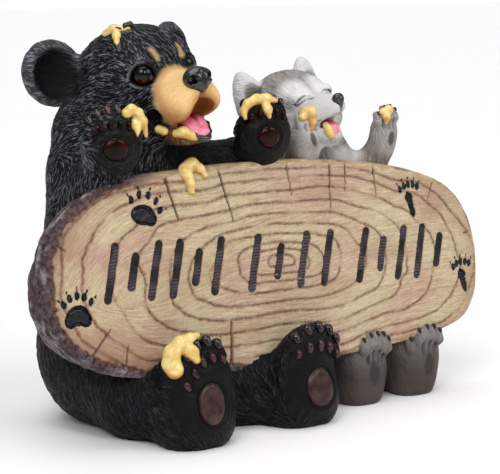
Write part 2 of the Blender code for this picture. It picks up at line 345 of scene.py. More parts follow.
def rgb(r, g, b):  # screen colour 0..255 to the shader's linear values
    return tuple(((c / 255 + 0.055) / 1.055) ** 2.4 if c > 10 else c / 255 / 12.92 for c in (r, g, b))


def furPaint(name, deep, base, brushed, tan, tanDeep, pale, dark, rough, contrast):
    p = Paint(name)
    strand = p.span(p.streaks(1350, 0.002, 5), 0.42, 0.59)
    cloud = p.noise(45, 3)
    tuft = p.math("MULTIPLY", p.attribute("tips"), p.span(cloud, 0.3, 0.65, 0.5, 1.0))
    tips = p.span(p.math("ADD", p.math("MULTIPLY", tuft, 0.42), p.math("MULTIPLY", strand, 0.58)), 0.32, 0.86)
    colour = p.mix(p.math("MULTIPLY", p.attribute("roots"), contrast), base, deep)
    # dry-brushed highlights; their amount is also lowered as painted shade
    colour = p.mix(p.math("MULTIPLY", tips, p.attribute("brushAndShade")), colour, brushed)
    warm = p.mix(p.span(strand, 0.2, 0.9, 0.0, 0.35), tan, tuple(0.7 * c for c in tan))
    colour = p.mix(p.attribute("tan"), colour, warm)
    colour = p.mix(p.attribute("tanEdge"), colour, tanDeep)
    earth = p.mix(p.span(cloud, 0.3, 0.7), tuple(0.4 * c for c in tanDeep), tanDeep)
    colour = p.mix(p.attribute("brown"), colour, earth)
    light = p.mix(p.span(strand, 0.1, 0.9, 0.0, 0.3), pale, tuple(0.8 * c for c in pale))
    colour = p.mix(p.attribute("pale"), colour, light)
    colour = p.mix(p.attribute("dark"), colour, dark)
    relief = p.mix(p.attribute("smooth"), strand, (0.5, 0.5, 0.5))
    return p.finish(colour, p.span(strand, 0.2, 0.8, rough + 0.08, rough - 0.06), relief, level=0.11)


def glossPaint(name, dark, light, rough=0.16, coat=0.7, inner=None, level=0.5):
    p = Paint(name)
    cloud = p.noise(160, 3)
    colour = p.mix(p.span(cloud, 0.35, 0.68), dark, light)
    if inner:
        colour = p.mix(p.attribute("inner"), colour, inner)
    grain = p.span(p.noise(800, 2), 0.3, 0.7, rough * 0.8, rough * 1.4)
    return p.finish(colour, grain, cloud, 0.25, coat=coat, coatRough=0.06, level=level)


# Fur is seeded noise drawn out along the lie of the coat: straight pulls and whorls, with some swirl.
def combed(points, normals, combs, swirl):
    flow = np.zeros_like(points)
    for middle, reach, kind, aim in combs:
        offset = points - np.array(middle, np.float32)
        share = np.exp(-(offset ** 2).sum(1) / reach ** 2)[:, None] + 1e-6
        if kind == "from":
            away = points - np.array(aim, np.float32)
            way = away / (np.linalg.norm(away, axis=1, keepdims=True) + 1e-6)
        else:
            way = np.array(aim, np.float32)[None, :] / np.linalg.norm(aim)
        flow += share * way
    flow -= normals * (flow * normals).sum(1, keepdims=True)
    flow /= np.linalg.norm(flow, axis=1, keepdims=True) + 1e-6
    side = np.cross(normals, flow)
    angle = swirl * 2.2 * noiseAt(points, 15, 5.5)[:, None]
    return flow * np.cos(angle) + side * np.sin(angle)


def strands(points, flow, size, reach, shift, steps=13):
    total, power = 0, 0
    for step in np.linspace(-1, 1, steps):
        share = smoothStep(-1.1, 0.5, step) * (1 - smoothStep(0.75, 1.05, step)) + 0.05
        total = total + share * noiseAt(points - flow * (reach * step), size, shift)
        power += share * share
    return total / math.sqrt(power) * 0.62


def coat(piece, combs, tuft, hair, bare):  # raises tufts and hairs, and returns their height
    mesh = piece.data
    points, normals = pointsOf(mesh), normalsOf(mesh)
    flow = combed(points, normals, combs, 0.32)
    combOn(mesh, flow)
    tufts = strands(points, flow, tuft["width"], tuft["length"], 0.3)
    hairs = strands(points, flow, hair["width"], hair["length"], 17.7)
    rise = (tufts * tuft["height"] + hairs * hair["height"]) * (1 - bare)
    risen = points + normals * rise[:, None]
    risen[:, 2] = np.maximum(risen[:, 2], 0)
    moveTo(mesh, risen)
    return 0.35 * tufts + 0.85 * hairs


def near(points, middle, radii, within=Matrix()):  # distance from the middle, counted in radii
    local = localPoints(points, within)
    return np.sqrt((((local - np.array(middle, np.float32)) / np.array(radii, np.float32)) ** 2).sum(1))


def localPoints(points, within):
    back = np.array(within.inverted(), np.float32)
    return points @ back[:3, :3].T + back[:3, 3]


def lineDistance(points, chain, within, depth):  # to a bent line, counting depth (local Y) for less
    local = localPoints(points, within)
    best = np.full(len(points), 1e9, np.float32)
    for start, end in zip(chain, chain[1:]):
        first = np.array(start[:3], np.float32)
        along = np.array(end[:3], np.float32) - first
        t = np.clip((local - first) @ along / (along @ along), 0, 1)
        gap = (local - first - t[:, None] * along) * np.array([1, depth, 1], np.float32)
        best = np.minimum(best, np.linalg.norm(gap, axis=1))
    return best


def inBall(points, low, high, middle, radii, within=Matrix()):  # 1 inside the ball, falling to 0 round it
    return 1 - smoothStep(low, high, near(points, middle, radii, within))


def byLine(points, low, high, chain, within, depth):  # 1 along the line, falling to 0 beside it
    return 1 - smoothStep(low, high, lineDistance(points, chain, within, depth))


def highest(masks):
    return np.max(list(masks), axis=0)


def flipped(chain):  # the same line on the other side
    return [(-spot[0], *spot[1:]) for spot in chain]


def bothSides(chain):
    return chain, flipped(chain)


# The two animals: balls and limbs of the bodies, then head, ears and paws in frames of their own.

bear = dict(
    balls=[((-66, 22, 48), (50, 42, 52)), ((-68, 18, 112), (43, 37, 50)), ((-68, 14, 158), (33, 28, 24)),
           ((-78, 24, 162), (30, 25, 28)), ((-52, 18, 82), (42, 38, 42)), ((-66, 63, 34), (9, 9, 8))],
    limbs=[[(-66, 20, 50, 46), (-68, 18, 110, 39), (-70, 18, 152, 30)],
           [(-100, 14, 142, 18), (-106, 6, 112, 15), (-104, -14, 140, 14)],
           [(-40, 10, 144, 17), (-18, 0, 138, 15), (-6, -13, 148, 13)],
           [(-80, 18, 36, 36), (-80, -18, 26, 27), (-73, -44, 21, 20)],
           [(-38, 18, 36, 36), (-24, -16, 22, 26), (4, -40, 20, 21)]],
    blend=11,
    head=placing(at=(-66, 10, 188), turn=5, nod=4, roll=9),
    headBalls=[((0, 0, 0.5), (37, 32, 34), 6), ((0, -10, 8), (28, 24, 23.5), 8),
               ((-19, -8, -13), (18, 18, 17), 9), ((19, -8, -13), (18, 18, 17), 9),
               ((0, -32, -5.5), (18, 18, 13.4), 8), ((0, -43, -5), (15.5, 15, 11.5), 5),
               ((0, -49, -2), (11, 8, 8), 4), ((-8, -45, -9), (9.4, 12, 8), 5),
               ((8, -45, -9), (9.4, 12, 8), 5), ((0, -26, -22), (15, 20, 9), 7)],
    headCuts=[((0, -58, -15), (7.4, 16, 8.2), 3), ((0, -60, -8), (3, 9, 5), 2),
              ((0, -60, -4), (0.8, 3.5, 6), 1.5), ((-19.6, -37, -12.6), (3.8, 4.8, 4.2), 1),
              ((19.6, -37, -12.6), (3.8, 4.8, 4.2), 1)],
    folds=[[(-19, -32.5, -13.5, 1.0), (-17.6, -35.2, -11.6, 2.3), (-16, -37.5, -15, 1.4)],
           [(-14.5, -38.5, -17, 1.2), (-9, -44, -19.2, 1.2), (-5, -52, -18, 1.0)]],
    ridges=[[(-21.6, -33.4, -9.4, 0.9), (-20.8, -35.4, -7.2, 1.2), (-19.2, -37.6, -6.4, 1.4),
             (-17.8, -40, -7.4, 1.2), (-17.2, -41.2, -9.4, 0.7)]],
    jaw=[((0, -40, -26), (11.5, 11, 5), 4), ((0, -45, -26.5), (9, 8, 4), 3)],
    eye=dict(at=(14.4, -27.6, 9.4), turn=33, radius=6.4),
    brows=[[(-7, -28.8, 21.6), (-6.4, -30, 20.4), (-6, -32, 17.8), (-6.2, -32.8, 16.8)],
           [(11.8, -27.9, 20.6), (12, -28.8, 19.1), (11, -31.4, 16.1), (10.2, -32.4, 15.4)]],
    ears=[dict(at=(-42, 15, 17), turn=-20, roll=14),
          dict(at=(42, 17, 12), turn=20, roll=-8)],
    ear=dict(disc=((0, 0, 0), (17, 7, 18.5)), hollow=((1.4, -7, -1.6), (13.6, 8.5, 15))),
    paws=[dict(at=(-103, -24, 160), palm=(17, 12.5, 18), pad=(-3.6, 0.2, 7.2, 6.6, 0),
               toes=[(-15.6, 9.6, 2.8), (-11, 12, 3.1), (-5.2, 13.4, 3.2), (0.6, 13.4, 3.2), (5.8, 12.2, 3)]),
          dict(at=(-4, -24, 162), palm=(17.5, 12.5, 17.5), pad=(-3.2, -0.6, 6.6, 6.6, 0),
               toes=[(-13.6, 11.4, 3.3), (-7.6, 13.4, 3.3), (-1.4, 13.8, 3.2), (3.5, 13.2, 3.1),
                     (8.4, 11.2, 3)]),
          dict(at=(-70, -55, 32), turn=-8, nod=-4, roll=20, palm=(21, 12, 25), heel=18,
               pad=(0.6, -6.6, 8.4, 11.4, 19),
               toes=[(-8.4, 8.4, 3.8), (-2, 13.2, 3.9), (4.4, 16.8, 4), (10.4, 16.2, 4), (15.6, 12.4, 3.7)]),
          dict(at=(5, -50, 31), turn=8, nod=-4, roll=-4, palm=(22, 12, 25), heel=18, pad=(1, -7, 9.6, 11, 8),
               toes=[(-13.4, 12.2, 3.6), (-5.6, 15.8, 4), (2.8, 16.6, 4.1), (10.8, 14.6, 4),
                     (17.6, 10, 3.6)])],
)
cub = dict(
    balls=[((74, 14, 40), (42, 33, 44)), ((62, 14, 76), (44, 32, 40)), ((62, 12, 98), (33, 27, 52)),
           ((54, 6, 144), (22, 19, 20)), ((70, 8, 135.5), (16, 13, 12.5)), ((80, 44, 22), (9, 10, 8)),
           ((56, -31, 27), (9, 9.5, 13.5)), ((96, -30, 28), (9.5, 9.5, 13))],
    limbs=[[(73, 14, 42, 36), (64, 12, 95, 29), (56, 8, 140, 20)],
           [(40, 8, 138, 12), (30, -4, 128, 10), (28, -17, 146, 9)],
           [(72, 8, 132, 12), (84, -2, 124, 11), (86, -17, 146, 8.5)],
           [(58, 12, 30, 30), (66, -12, 18, 19), (66, -26, 15, 14)],
           [(92, 12, 30, 27), (104, -10, 18, 19), (107, -24, 15, 14)]],
    blend=9,
    head=placing(at=(36, 4, 172), turn=2, nod=11, roll=11),
    headBalls=[((0, 0, 0), (26, 24, 23), 5), ((0, -11, 3), (17, 13, 11), 6),
               ((-13, -10, -9), (13, 13, 12), 6), ((13, -10, -9), (13, 13, 12), 6),
               ((0, -26, -4), (12, 13, 9), 6), ((0, -35, -3.5), (8, 11, 6.6), 5),
               ((0, -22, -17), (9, 14, 6), 4), ((-10.5, -21, 5.5), (6, 5, 4.5), 3),
               ((10.5, -21, 5.5), (6, 5, 4.5), 3)],
    headCuts=[((0, -38, -12), (6.8, 14, 3.4), 2), ((0, -46.5, -5), (0.6, 3, 3), 1)],
    folds=[[(-14.2, -23, 3.2, 0.4), (-12.4, -24.6, 4.6, 0.5), (-10, -26.2, 5.7, 0.5), (-7.4, -27.2, 6.4, 0.5),
            (-5, -28, 5.6, 0.4)],
           [(-13.4, -23.4, 1.9, 0.5), (-11, -25.4, 2.8, 0.7), (-8.6, -27.2, 3.9, 0.8),
            (-6.4, -28.6, 4.2, 0.7), (-5, -29.4, 3.4, 0.4)],
           [(-2.5, -42.6, -7.8, 0.7), (-4.4, -38, -8.9, 0.8), (-6.4, -34.4, -9.4, 1.0),
            (-8.2, -31, -9.2, 0.8)]],
    jaw=[((0, -29, -21), (6.6, 8, 4.6), 3)],
    ears=[dict(at=(-21, 6, 12), turn=-12, roll=10),
          dict(at=(21, 5, 10.5), turn=12, roll=-8)],
    ear=dict(point=[(0, 0, -8, 10.5), (0, 0, 4.5, 8.2), (0, 0, 14, 2.6)], flat=0.45,
             hollow=((0.5, -5, -1.5), (6, 3.2, 9.5))),
    paws=[dict(at=(28, -21, 156), palm=(10, 8, 14), pad=(1.2, 1.2, 2, 4.4, -20), between=7,
               toes=[(-5.8, 9.6, 2.6), (-1.9, 11.6, 2.6), (2, 11.6, 2.6), (5.8, 9.8, 2.5)]),
          dict(at=(87, -21, 157), roll=-4, palm=(9, 7, 12), pad=(1, -2.6, 2.4, 4.2, 0), between=4,
               toes=[(-7.6, 6.6, 2.5), (-3.2, 10.4, 2.5), (0.8, 11, 2.5), (4.6, 9.6, 2.4)]),
          dict(at=(64.5, -34, 21), nod=-8, palm=(13, 9, 17), heel=10.5, pad=(-0.6, -0.8, 3.8, 7.2, -8),
               between=6, forward=2.4, toes=[(-8.8, 14.4, 2.8), (-4.2, 17, 2.8), (0.6, 17.4, 2.8),
                                             (5, 16.6, 2.8), (9, 13.6, 2.7)]),
          dict(at=(106, -33, 21), nod=-8, palm=(14.5, 9, 18), heel=10.5, pad=(1.4, -1, 3.9, 6.8, -4),
               between=6, forward=2.4, toes=[(-13, 10.4, 2.8), (-7.2, 15, 2.8), (-1.6, 16.8, 2.8),
                                             (3.7, 16.3, 2.8), (8.6, 13.5, 2.7)])],
)


def pawFrame(paw):
    return placing(paw["at"], paw.get("turn", 0), paw.get("nod", 0), paw.get("roll", 0))


def addPaw(clay, paw):
    within = pawFrame(paw)
    wide, deep = paw["palm"][:2]
    forward = paw.get("forward", 0)  # toes stand in front of the palm and the heel behind it
    addBall(clay, (0, 0, 0), paw["palm"], within, 6)
    if paw.get("heel"):
        x, y, heel = paw["at"][0], paw["at"][1] + 0.25 * deep + forward, paw["heel"]
        addLimb(clay, [(x - 0.2 * wide - forward, y, heel - 5, heel),
                       (x + 0.25 * wide - forward, y, heel - 5, heel)], blend=8)
    for x, z, toe in paw["toes"]:
        addLimb(clay, [(0.6 * x, -0.3 * deep, 0.4 * z, toe * 0.9), (x, -0.48 * deep - forward, z, toe),
                       (x * 1.04, -0.25 * deep - forward, z + 1.7 * toe, toe * 0.9)], within, 1.3)
    if "between" in paw:
        for line in fingerGaps(paw):
            addLimb(clay, [(*spot, 0.9) for spot in line], within, 1.2, cut=True)


def fingerGaps(paw):  # lines between the toes, from the palm to the tips
    wide, deep, tall = paw["palm"]
    for (ax, az, _), (bx, bz, _) in zip(paw["toes"], paw["toes"][1:]):
        x, z = (ax + bx) / 2, (az + bz) / 2
        yield [(x * (0.8 + 0.25 * t), -deep * math.sqrt(max(0.1, 1 - (x / wide) ** 2 - (up / tall) ** 2)) - 0.3
                - 0.8 * paw.get("forward", 0) * max(0, t - 0.35), up)
               for t, up in ((t, mixed(paw["between"], z, t)) for t in (0, 0.35, 0.7))]


def padOvals(paws, palm=True, toes=True):
    for paw in paws:
        if palm:
            x, z, wide, tall, lean = paw["pad"]
            yield pawFrame(paw), (x, z), (wide, tall), lean
        if toes:
            for x, z, toe in paw["toes"]:
                yield pawFrame(paw), (x, z - 0.25 * toe), (0.56 * toe, 0.92 * toe), 0


def padSpace(within, spot, lean):
    return within @ Matrix.Translation((spot[0], 0, spot[1])) @ Matrix.Rotation(math.radians(lean), 4, "Y")


def ovalSpace(clay, within, spot, lean, ahead, reach):  # the cells in front of a pad, and where they lie on it
    tilted = padSpace(within, spot, lean)
    middle = np.array(tilted @ Vector((0, -ahead, 0)))
    place, space = window(clay, middle - reach, middle + reach)
    return place, localTo(tilted, space)


def padPlates(clay, ovals, rise):  # raised plates that follow the skin, each with a groove round it
    plates = dict(clay, field=np.full(clay["count"], 9, np.float32))
    for within, spot, radii, lean in ovals:
        place, (across, out, up) = ovalSpace(clay, within, spot, lean, 10, 20)
        oval = ballDistance([across, up], radii)
        skin = clay["field"][place]
        plate = np.maximum(oval, skin - rise) + np.maximum(3 - np.abs(oval - skin + rise), 0) ** 2 / 12
        plate = np.maximum(np.maximum(plate, -2.4 - skin), out + 2)
        plates["field"][place] = np.minimum(plates["field"][place], plate)
        rim = 0.7 * np.exp(-((oval - 2) / 1.2) ** 2) if radii[0] > 5 else 0
        clay["field"][place] = skin + (0.9 * np.exp(-(oval / 1.0) ** 2) - rim) * (out < 2)
    return plates


def padDents(clay, ovals, depth):
    for within, spot, radii, lean in ovals:
        place, (across, out, up) = ovalSpace(clay, within, spot, lean, 8, 14)
        dent = smoothStep(1.2, -1.0, ballDistance([across, up], radii))
        clay["field"][place] += depth * dent * (out < 2)


def addHead(clay, animal):
    within = animal["head"]
    for middle, radii, blend in animal["headBalls"]:
        addBall(clay, middle, radii, within, blend)
    for place in animal["ears"]:
        root = within @ placing(**place)
        ear = animal["ear"]
        if "disc" in ear:
            addBall(clay, *ear["disc"], root, 5)
        else:
            for step in np.linspace(0, 1, 9):
                chain = np.array(ear["point"])
                spot = [np.interp(step * 2, [0, 1, 2], chain[:, k]) for k in range(4)]
                addBall(clay, spot[:3], (spot[3], spot[3] * ear["flat"] + 0.6, spot[3]), root, 3)
        addBall(clay, *ear["hollow"], root, 2.5, cut=True)
    if "eye" in animal:
        addEyes(clay, animal)
    for middle, radii, blend in animal["headCuts"]:
        addBall(clay, middle, radii, within, blend, cut=True)
    for middle, radii, blend in animal["jaw"]:
        addBall(clay, middle, radii, within, blend)
    for chain in animal.get("ridges", []):
        addLimb(clay, chain, within, 1.5)
        addLimb(clay, flipped(chain), within, 1.5)
    for chain in animal["folds"]:
        addLimb(clay, chain, within, 1, cut=True)
        addLimb(clay, flipped(chain), within, 1, cut=True)


def eyeSpace(animal, side):
    x, y, z = animal["eye"]["at"]
    return animal["head"] @ placing((side * x, y, z), side * animal["eye"]["turn"])


def onSkin(clay, within, chain, thick):  # each point slides along y, outwards, until it leaves the skin
    rested = []
    depths = np.arange(8, -12, -0.25)
    for x, z in chain:
        trail = np.array([within @ Vector((x, depth, z)) for depth in depths])
        cells = np.clip(np.rint((trail - clay["low"]) / clay["cell"]).astype(int), 0, clay["count"] - 1)
        rested.append((x, depths[np.argmax(clay["field"][tuple(cells.T)] > 0)], z, thick))
    return rested


upperLid = [(-9.2, -1.6), (-7.6, 2), (-5.6, 4.9), (-2.4, 7), (1.6, 7.2), (5.2, 5.2)]
lowerLid = [(-7.8, -3), (-5.4, -5.2), (-2.2, -6.5), (2.6, -6.6), (6.4, -4.6)]


def addEyes(clay, animal):  # lids close round the ball, with a fold over the upper one and a bag below
    for side in (-1, 1):
        within = eyeSpace(animal, side)
        addBall(clay, (0, 0, 0.2), (7.7, 7.2, 7.1), within, 1.8)
        for chain, thick in ((upperLid, 0.9), (lowerLid, 0.8)):
            addLimb(clay, onSkin(clay, within, [(-side * x, z) for x, z in chain], thick), within, 1.2)
        addBall(clay, (0, -8, 0.2), (6.8, 8, 5.6), within, 0.8, cut=True)
        addBall(clay, (side * 5, -7.4, -1.2), (3.2, 5, 2.2), within, 0.8, cut=True)
        addBall(clay, (0, 0, 0), (6.5, 6.5, 6.5), within, 0.5, cut=True)


def addBody(clay, animal):
    for middle, radii in animal["balls"]:
        addBall(clay, middle, radii, blend=animal["blend"])
    for chain in animal["limbs"]:
        addLimb(clay, chain, blend=animal["blend"])


def standOn(clay):  # flat underside
    clay["field"] = np.maximum(clay["field"], (0 - wholeSpace(clay)[2]).astype(np.float32))


quickCell = 1.0
black = furPaint("black_fur", deep=rgb(5, 5, 6), base=rgb(11, 11, 13), brushed=rgb(124, 126, 134),
                 tan=rgb(232, 194, 136), tanDeep=rgb(168, 92, 36), pale=rgb(150, 150, 155),
                 dark=rgb(9, 8, 10), rough=0.46, contrast=0.9)
grey = furPaint("grey_fur", deep=rgb(88, 82, 79), base=rgb(140, 137, 134), brushed=rgb(188, 186, 184),
                tan=rgb(150, 130, 118), tanDeep=rgb(74, 61, 56), pale=rgb(224, 223, 222),
                dark=rgb(52, 48, 48), rough=0.55, contrast=0.55)

bearCombs = [((-66, 20, 60), 60, "along", (0.05, 0.2, -1)), ((-68, 20, 120), 45, "along", (-0.1, 0.3, -1)),
             ((-66, -10, 195), 48, "from", (-62, -50, 190)), ((-76, -35, 25), 34, "along", (0.5, -0.7, -0.5)),
             ((-20, -30, 22), 34, "along", (0.6, -0.5, -0.35)), ((-104, -8, 135), 26, "along", (0.1, -0.3, 1)),
             ((-18, -6, 140), 22, "along", (1, -0.3, 0.2)), ((5, -50, 31), 26, "along", (-0.8, 0.2, -0.5))]
cubCombs = [((70, 14, 50), 60, "along", (0.05, 0.2, -1)), ((60, 10, 110), 40, "along", (0, 0.2, -1)),
            ((36, 0, 175), 36, "from", (37, -44, 168)), ((66, -25, 20), 24, "along", (0.2, -0.5, -0.6)),
            ((106, -22, 20), 24, "along", (0.2, -0.5, -0.6))]


def pawBare(points, animal):  # the palm sides of the paws carry no fur
    bare = np.zeros(len(points), np.float32)
    for paw in animal["paws"]:
        wide, deep, tall = paw["palm"]
        palm = (wide * 1.1, deep * 0.95, tall * 1.1)
        bare = np.maximum(bare, inBall(points, 0.75, 1.15, (0, -deep, 0), palm, pawFrame(paw)))
    return bare


def furPiece(name, animal, box, cell, most, sides, paws=(), plates=(), dents=0):
    clay = newClay(*box, cell * quickCell)
    addBody(clay, animal)
    if box[1][2] > 150:  # the box reaches up to the head
        addHead(clay, animal)
    standOn(clay)
    for point, outward in sides:
        keepSide(clay, point, outward)
    for paw in paws:
        addPaw(clay, paw)
    standOn(clay)
    for plateName, ovals, rise, plateMaterial, plateMost in plates:
        plate = toMesh(plateName, *skinOf(padPlates(clay, ovals, rise)), plateMaterial)
        finishPiece(plate, plateMost, crumbs=60)
    if dents:
        padDents(clay, padOvals(paws, toes=False), dents)
    piece = toMesh(name, *skinOf(clay), animal["fur"])
    masks = animal["masks"](pointsOf(piece.data))
    height = coat(piece, animal["combs"], animal["tuft"], animal["hair"], masks["bare"])
    paintOn(piece.data, "tips", smoothStep(0.0, 0.8, height))
    paintOn(piece.data, "roots", smoothStep(0.15, -0.55, height) * (1 - masks["bare"]))
    paintOn(piece.data, "smooth", masks["bare"] * 0.85)
    for key in ("brushAndShade", "tan", "tanEdge", "brown", "pale", "dark"):
        paintOn(piece.data, key, masks.get(key, np.zeros(len(height))))
    return finishPiece(piece, most, replacing=name == "bear_body", crumbs=200)


def bearMasks(points):
    within, height = bear["head"], points[:, 2]
    roots = [within @ placing(**place) for place in bear["ears"]]
    reach = near(points, (0, -48, -3.5), (20, 19, 19), within)
    muzzle = 1 - smoothStep(0.88, 1.12, reach + 0.03 * noiseAt(points, 2.5))
    muzzleEdge = smoothStep(0.75, 1.02, reach) * muzzle
    brows = highest(byLine(points, 0.2, 2.5, chain, within, 0.15) for chain in bear["brows"])
    mouth = inBall(points, 0.85, 1.1, (0, -56, -14), (8.5, 17, 8), within)
    chin = inBall(points, 0.7, 1.15, (0, -42, -24), (14, 14, 8), within)
    # painted shade: the holes at the mouth corners are painted dark
    hollows = highest(inBall(points, 0.95, 1.2, (side * 18.6, -35.4, -12.8), (4.8, 5.6, 4.6), within)
                      for side in (-1, 1))
    seam = highest(byLine(points, 0.8, 4.0, chain, within, 1) for chain in bothSides(bear["folds"][1]))
    philtrum = byLine(points, 0.5, 2.2, [(0, -60, 2), (0, -60, -7)], within, 0.2)
    # painted shade: the muzzle's edge colour deepens toward the underside of the head
    under = smoothStep(-7, -18, localPoints(points, within)[:, 2])
    rimGlow = inBall(points, 1.0, 1.7, (0, -58, -14), (7.6, 17, 9), within)
    ears = highest(inBall(points, 0.85, 1.1, (1, -5, -2), (13, 7.5, 15), root) for root in roots)
    rims = highest(inBall(points, 0.9, 1.3, (0, 0, 0), (18, 8, 20), root) for root in roots)
    eyes = highest(inBall(points, 0.75, 1.1, (0, -3, 0), (8.2, 7, 7.4), eyeSpace(bear, side))
                   for side in (-1, 1))
    # painted highlights: pale lines along the eyelid folds, where a gloss highlight would fall
    lids = np.zeros(len(points), np.float32)
    for side in (-1, 1):
        close = inBall(points, 0.9, 1.1, (0, -2, 0), (12, 10, 12), eyeSpace(bear, side))
        for chain, show in ((upperLid[:5], 0.36), (lowerLid[:3], 0.55)):
            fold = [(-side * x, 0, z) for x, z in chain]
            lids = np.maximum(lids, show * close * byLine(points, 0.1, 0.8, fold, eyeSpace(bear, side), 0))
    palms = pawBare(points, bear)
    face = inBall(points, 0.9, 1.15, (0, -50, -8), (21, 21, 22), within)
    # painted highlight: a pale line along the ridge over each mouth-corner hole
    corner = highest(byLine(points, 0.5, 1.5, chain, within, 1) for chain in bothSides(bear["ridges"][0]))
    # the dry-brush is real paint; its fading lower down, on the far arm and flank and under the chin behind the
    # paw is painted shade
    brushAndShade = mixed(0.12, 0.75, smoothStep(40, 110, height)) * (1 - 0.85 * palms)
    farArm = 0.9 * smoothStep(-40, -20, points[:, 0]) * smoothStep(60, 100, height)
    brushAndShade *= 1 - farArm * (1 - smoothStep(180, 200, height))
    behindPaw = smoothStep(0.7, 1.2, near(points, (-44, -16, 160), (24, 22, 20)))
    brushAndShade = np.maximum(brushAndShade, rims) * (0.05 + 0.95 * behindPaw)
    tanEdge = 0.75 * muzzleEdge + 0.5 * seam + 0.4 * philtrum + 0.7 * rimGlow + 0.4 * under
    return dict(
        bare=highest([palms, 0.9 * face, 0.85 * ears, 0.6 * rims, eyes]),
        brushAndShade=brushAndShade * (1 - 0.9 * np.maximum(eyes, ears)),
        tan=np.maximum(muzzle, brows * 0.55) * (1 - mouth),
        tanEdge=np.clip(tanEdge, 0, 1) * (1 - mouth) * muzzle,
        brown=np.clip(np.maximum(mouth * 0.95, chin * 0.6 * (1 - muzzle * 0.4)), 0, 1),
        pale=highest([lids, 0.5 * corner, 0.1 * rims * (1 - ears)]),
        dark=highest([ears, eyes * (1 - lids), hollows * (1 - corner), 0.3 * mouth, 0.5 * philtrum * muzzle]),
    )


def cubMasks(points):
    within = cub["head"]
    roots = [within @ placing(**place) for place in cub["ears"]]
    face = inBall(points, 0.6, 1.3, (0, -33, -6), (18, 22, 16), within)
    brow = highest(inBall(points, 0.5, 1.4, (side * 9.5, -20, 10), (9, 9, 8), within) for side in (-1, 1))
    cheek = highest(inBall(points, 0.4, 1.4, (side * 17, -13, -12), (10, 11, 13), within) for side in (-1, 1))
    rim = highest(inBall(points, 0.8, 1.25, (0, 0, 6), (11.5, 6, 15), root) for root in roots)
    # painted shade: the ear hollows are painted darker
    inner = highest(inBall(points, 0.5, 1.2, (1, -3.5, -1), (7, 4.5, 9), root) for root in roots)
    # painted shade: the grooves between the toes and fingers are painted dark
    gaps = highest(byLine(points, 0.4, 1.6, line, pawFrame(paw), 0.6)
                   for paw in cub["paws"] for line in fingerGaps(paw))
    pads = np.zeros(len(points), np.float32)
    for paw in cub["paws"]:
        x, z, wide, tall, lean = paw["pad"]
        local = localPoints(points, padSpace(pawFrame(paw), (x, z), lean))
        oval = np.hypot(local[:, 0] / wide, local[:, 2] / tall) + (local[:, 1] > 2) * 9
        pads = np.maximum(pads, 1 - smoothStep(0.75, 1.25, oval))
    lines = highest(byLine(points, 0.3, 1.1, side, within, 0.3)
                    for chain in cub["folds"] for side in bothSides(chain))
    muzzleLine = byLine(points, 0.5, 1.8, [(0, -47, -2), (0, -46, -8), (0, -40, -9)], within, 0.4)
    mouth = inBall(points, 0.8, 1.05, (0, -36, -12), (6.4, 12, 3.6), within)
    low = 1 - smoothStep(16, 54, points[:, 2])
    ruff = np.maximum(inBall(points, 0.6, 1.3, (45, -26, 151), (12, 12, 7)),
                      1.3 * inBall(points, 0.6, 1.4, (66, -8, 144), (14, 12, 6)))
    arms = highest(inBall(points, 0.6, 1.4, (x, y, 150), (13, 14, 20)) for x, y in ((87, -14), (26, -18)))
    # painted shade: darker between the near arm and the neck
    neckShade = inBall(points, 0.5, 1.3, (12, -20, 146), (12, 14, 20))
    pale = 0.8 * face + 0.95 * brow + cheek * 0.5 + (rim - inner) * 0.9 + 0.6 * ruff
    dark = 0.5 * neckShade + pads * 0.8 + inner * 0.45 + lines * 0.8 + gaps * 0.55
    return dict(
        bare=np.maximum(pawBare(points, cub), face * 0.8),
        # the dry-brush is real paint; its fading toward the bottom is painted shade
        brushAndShade=0.75 - 0.5 * low,
        tan=0.4 * arms,
        brown=0.9 * low * (1 - smoothStep(10, 45, points[:, 1])),
        pale=np.clip(pale, 0, 1) * 0.95,
        dark=np.clip(dark + np.maximum(muzzleLine, mouth) * 0.9, 0, 1),
    )


bear.update(fur=black, masks=bearMasks, combs=bearCombs, tuft=dict(width=1.6, length=4, height=0.42),
            hair=dict(width=1.1, length=3, height=0.32))
cub.update(fur=grey, masks=cubMasks, combs=cubCombs, tuft=dict(width=2.2, length=8, height=0.2),
           hair=dict(width=1.1, length=5, height=0.12))
neckCut, neckTop = ((-68, 14, 153), (0, 0, -1)), ((-68, 14, 153), (0, 0, 1))
legCut, bodyCut = ((0, 22, 23), (0, 1, 1)), ((0, 22, 23), (0, -1, -1))
cubCut, cubTop = ((50, 5, 151), (0, 0, -1)), ((50, 5, 151), (0, 0, 1))
nosePaint = glossPaint("black_gloss", rgb(6, 6, 8), rgb(24, 25, 30), 0.2)
bearNosePaint = glossPaint("nose_gloss", rgb(7, 7, 9), rgb(20, 21, 26), 0.2, coat=0.7, inner=rgb(1, 1, 1),
                           level=0.4)
handClawPaint = glossPaint("hand_claw_gloss", rgb(18, 10, 10), rgb(82, 52, 48), 0.16, coat=0.35, level=0.35)
clawPaint = glossPaint("claw_gloss", rgb(10, 7, 9), rgb(44, 28, 28), 0.16, coat=0.25, level=0.35)
handPadPaint = glossPaint("hand_pad_gloss", rgb(10, 2, 2), rgb(50, 8, 7), 0.14, coat=0, level=0.14)
toePadPaint = glossPaint("toe_pad_gloss", rgb(22, 9, 9), rgb(70, 36, 34), 0.14, coat=0.1, level=0.35)
solePaint = glossPaint("sole_gloss", rgb(38, 24, 23), rgb(76, 48, 46), 0.3, coat=0.05, level=0.25)
tonguePaint = glossPaint("tongue_pink", rgb(228, 104, 134), rgb(250, 156, 178), 0.32, coat=0.4,
                         inner=rgb(150, 16, 40))

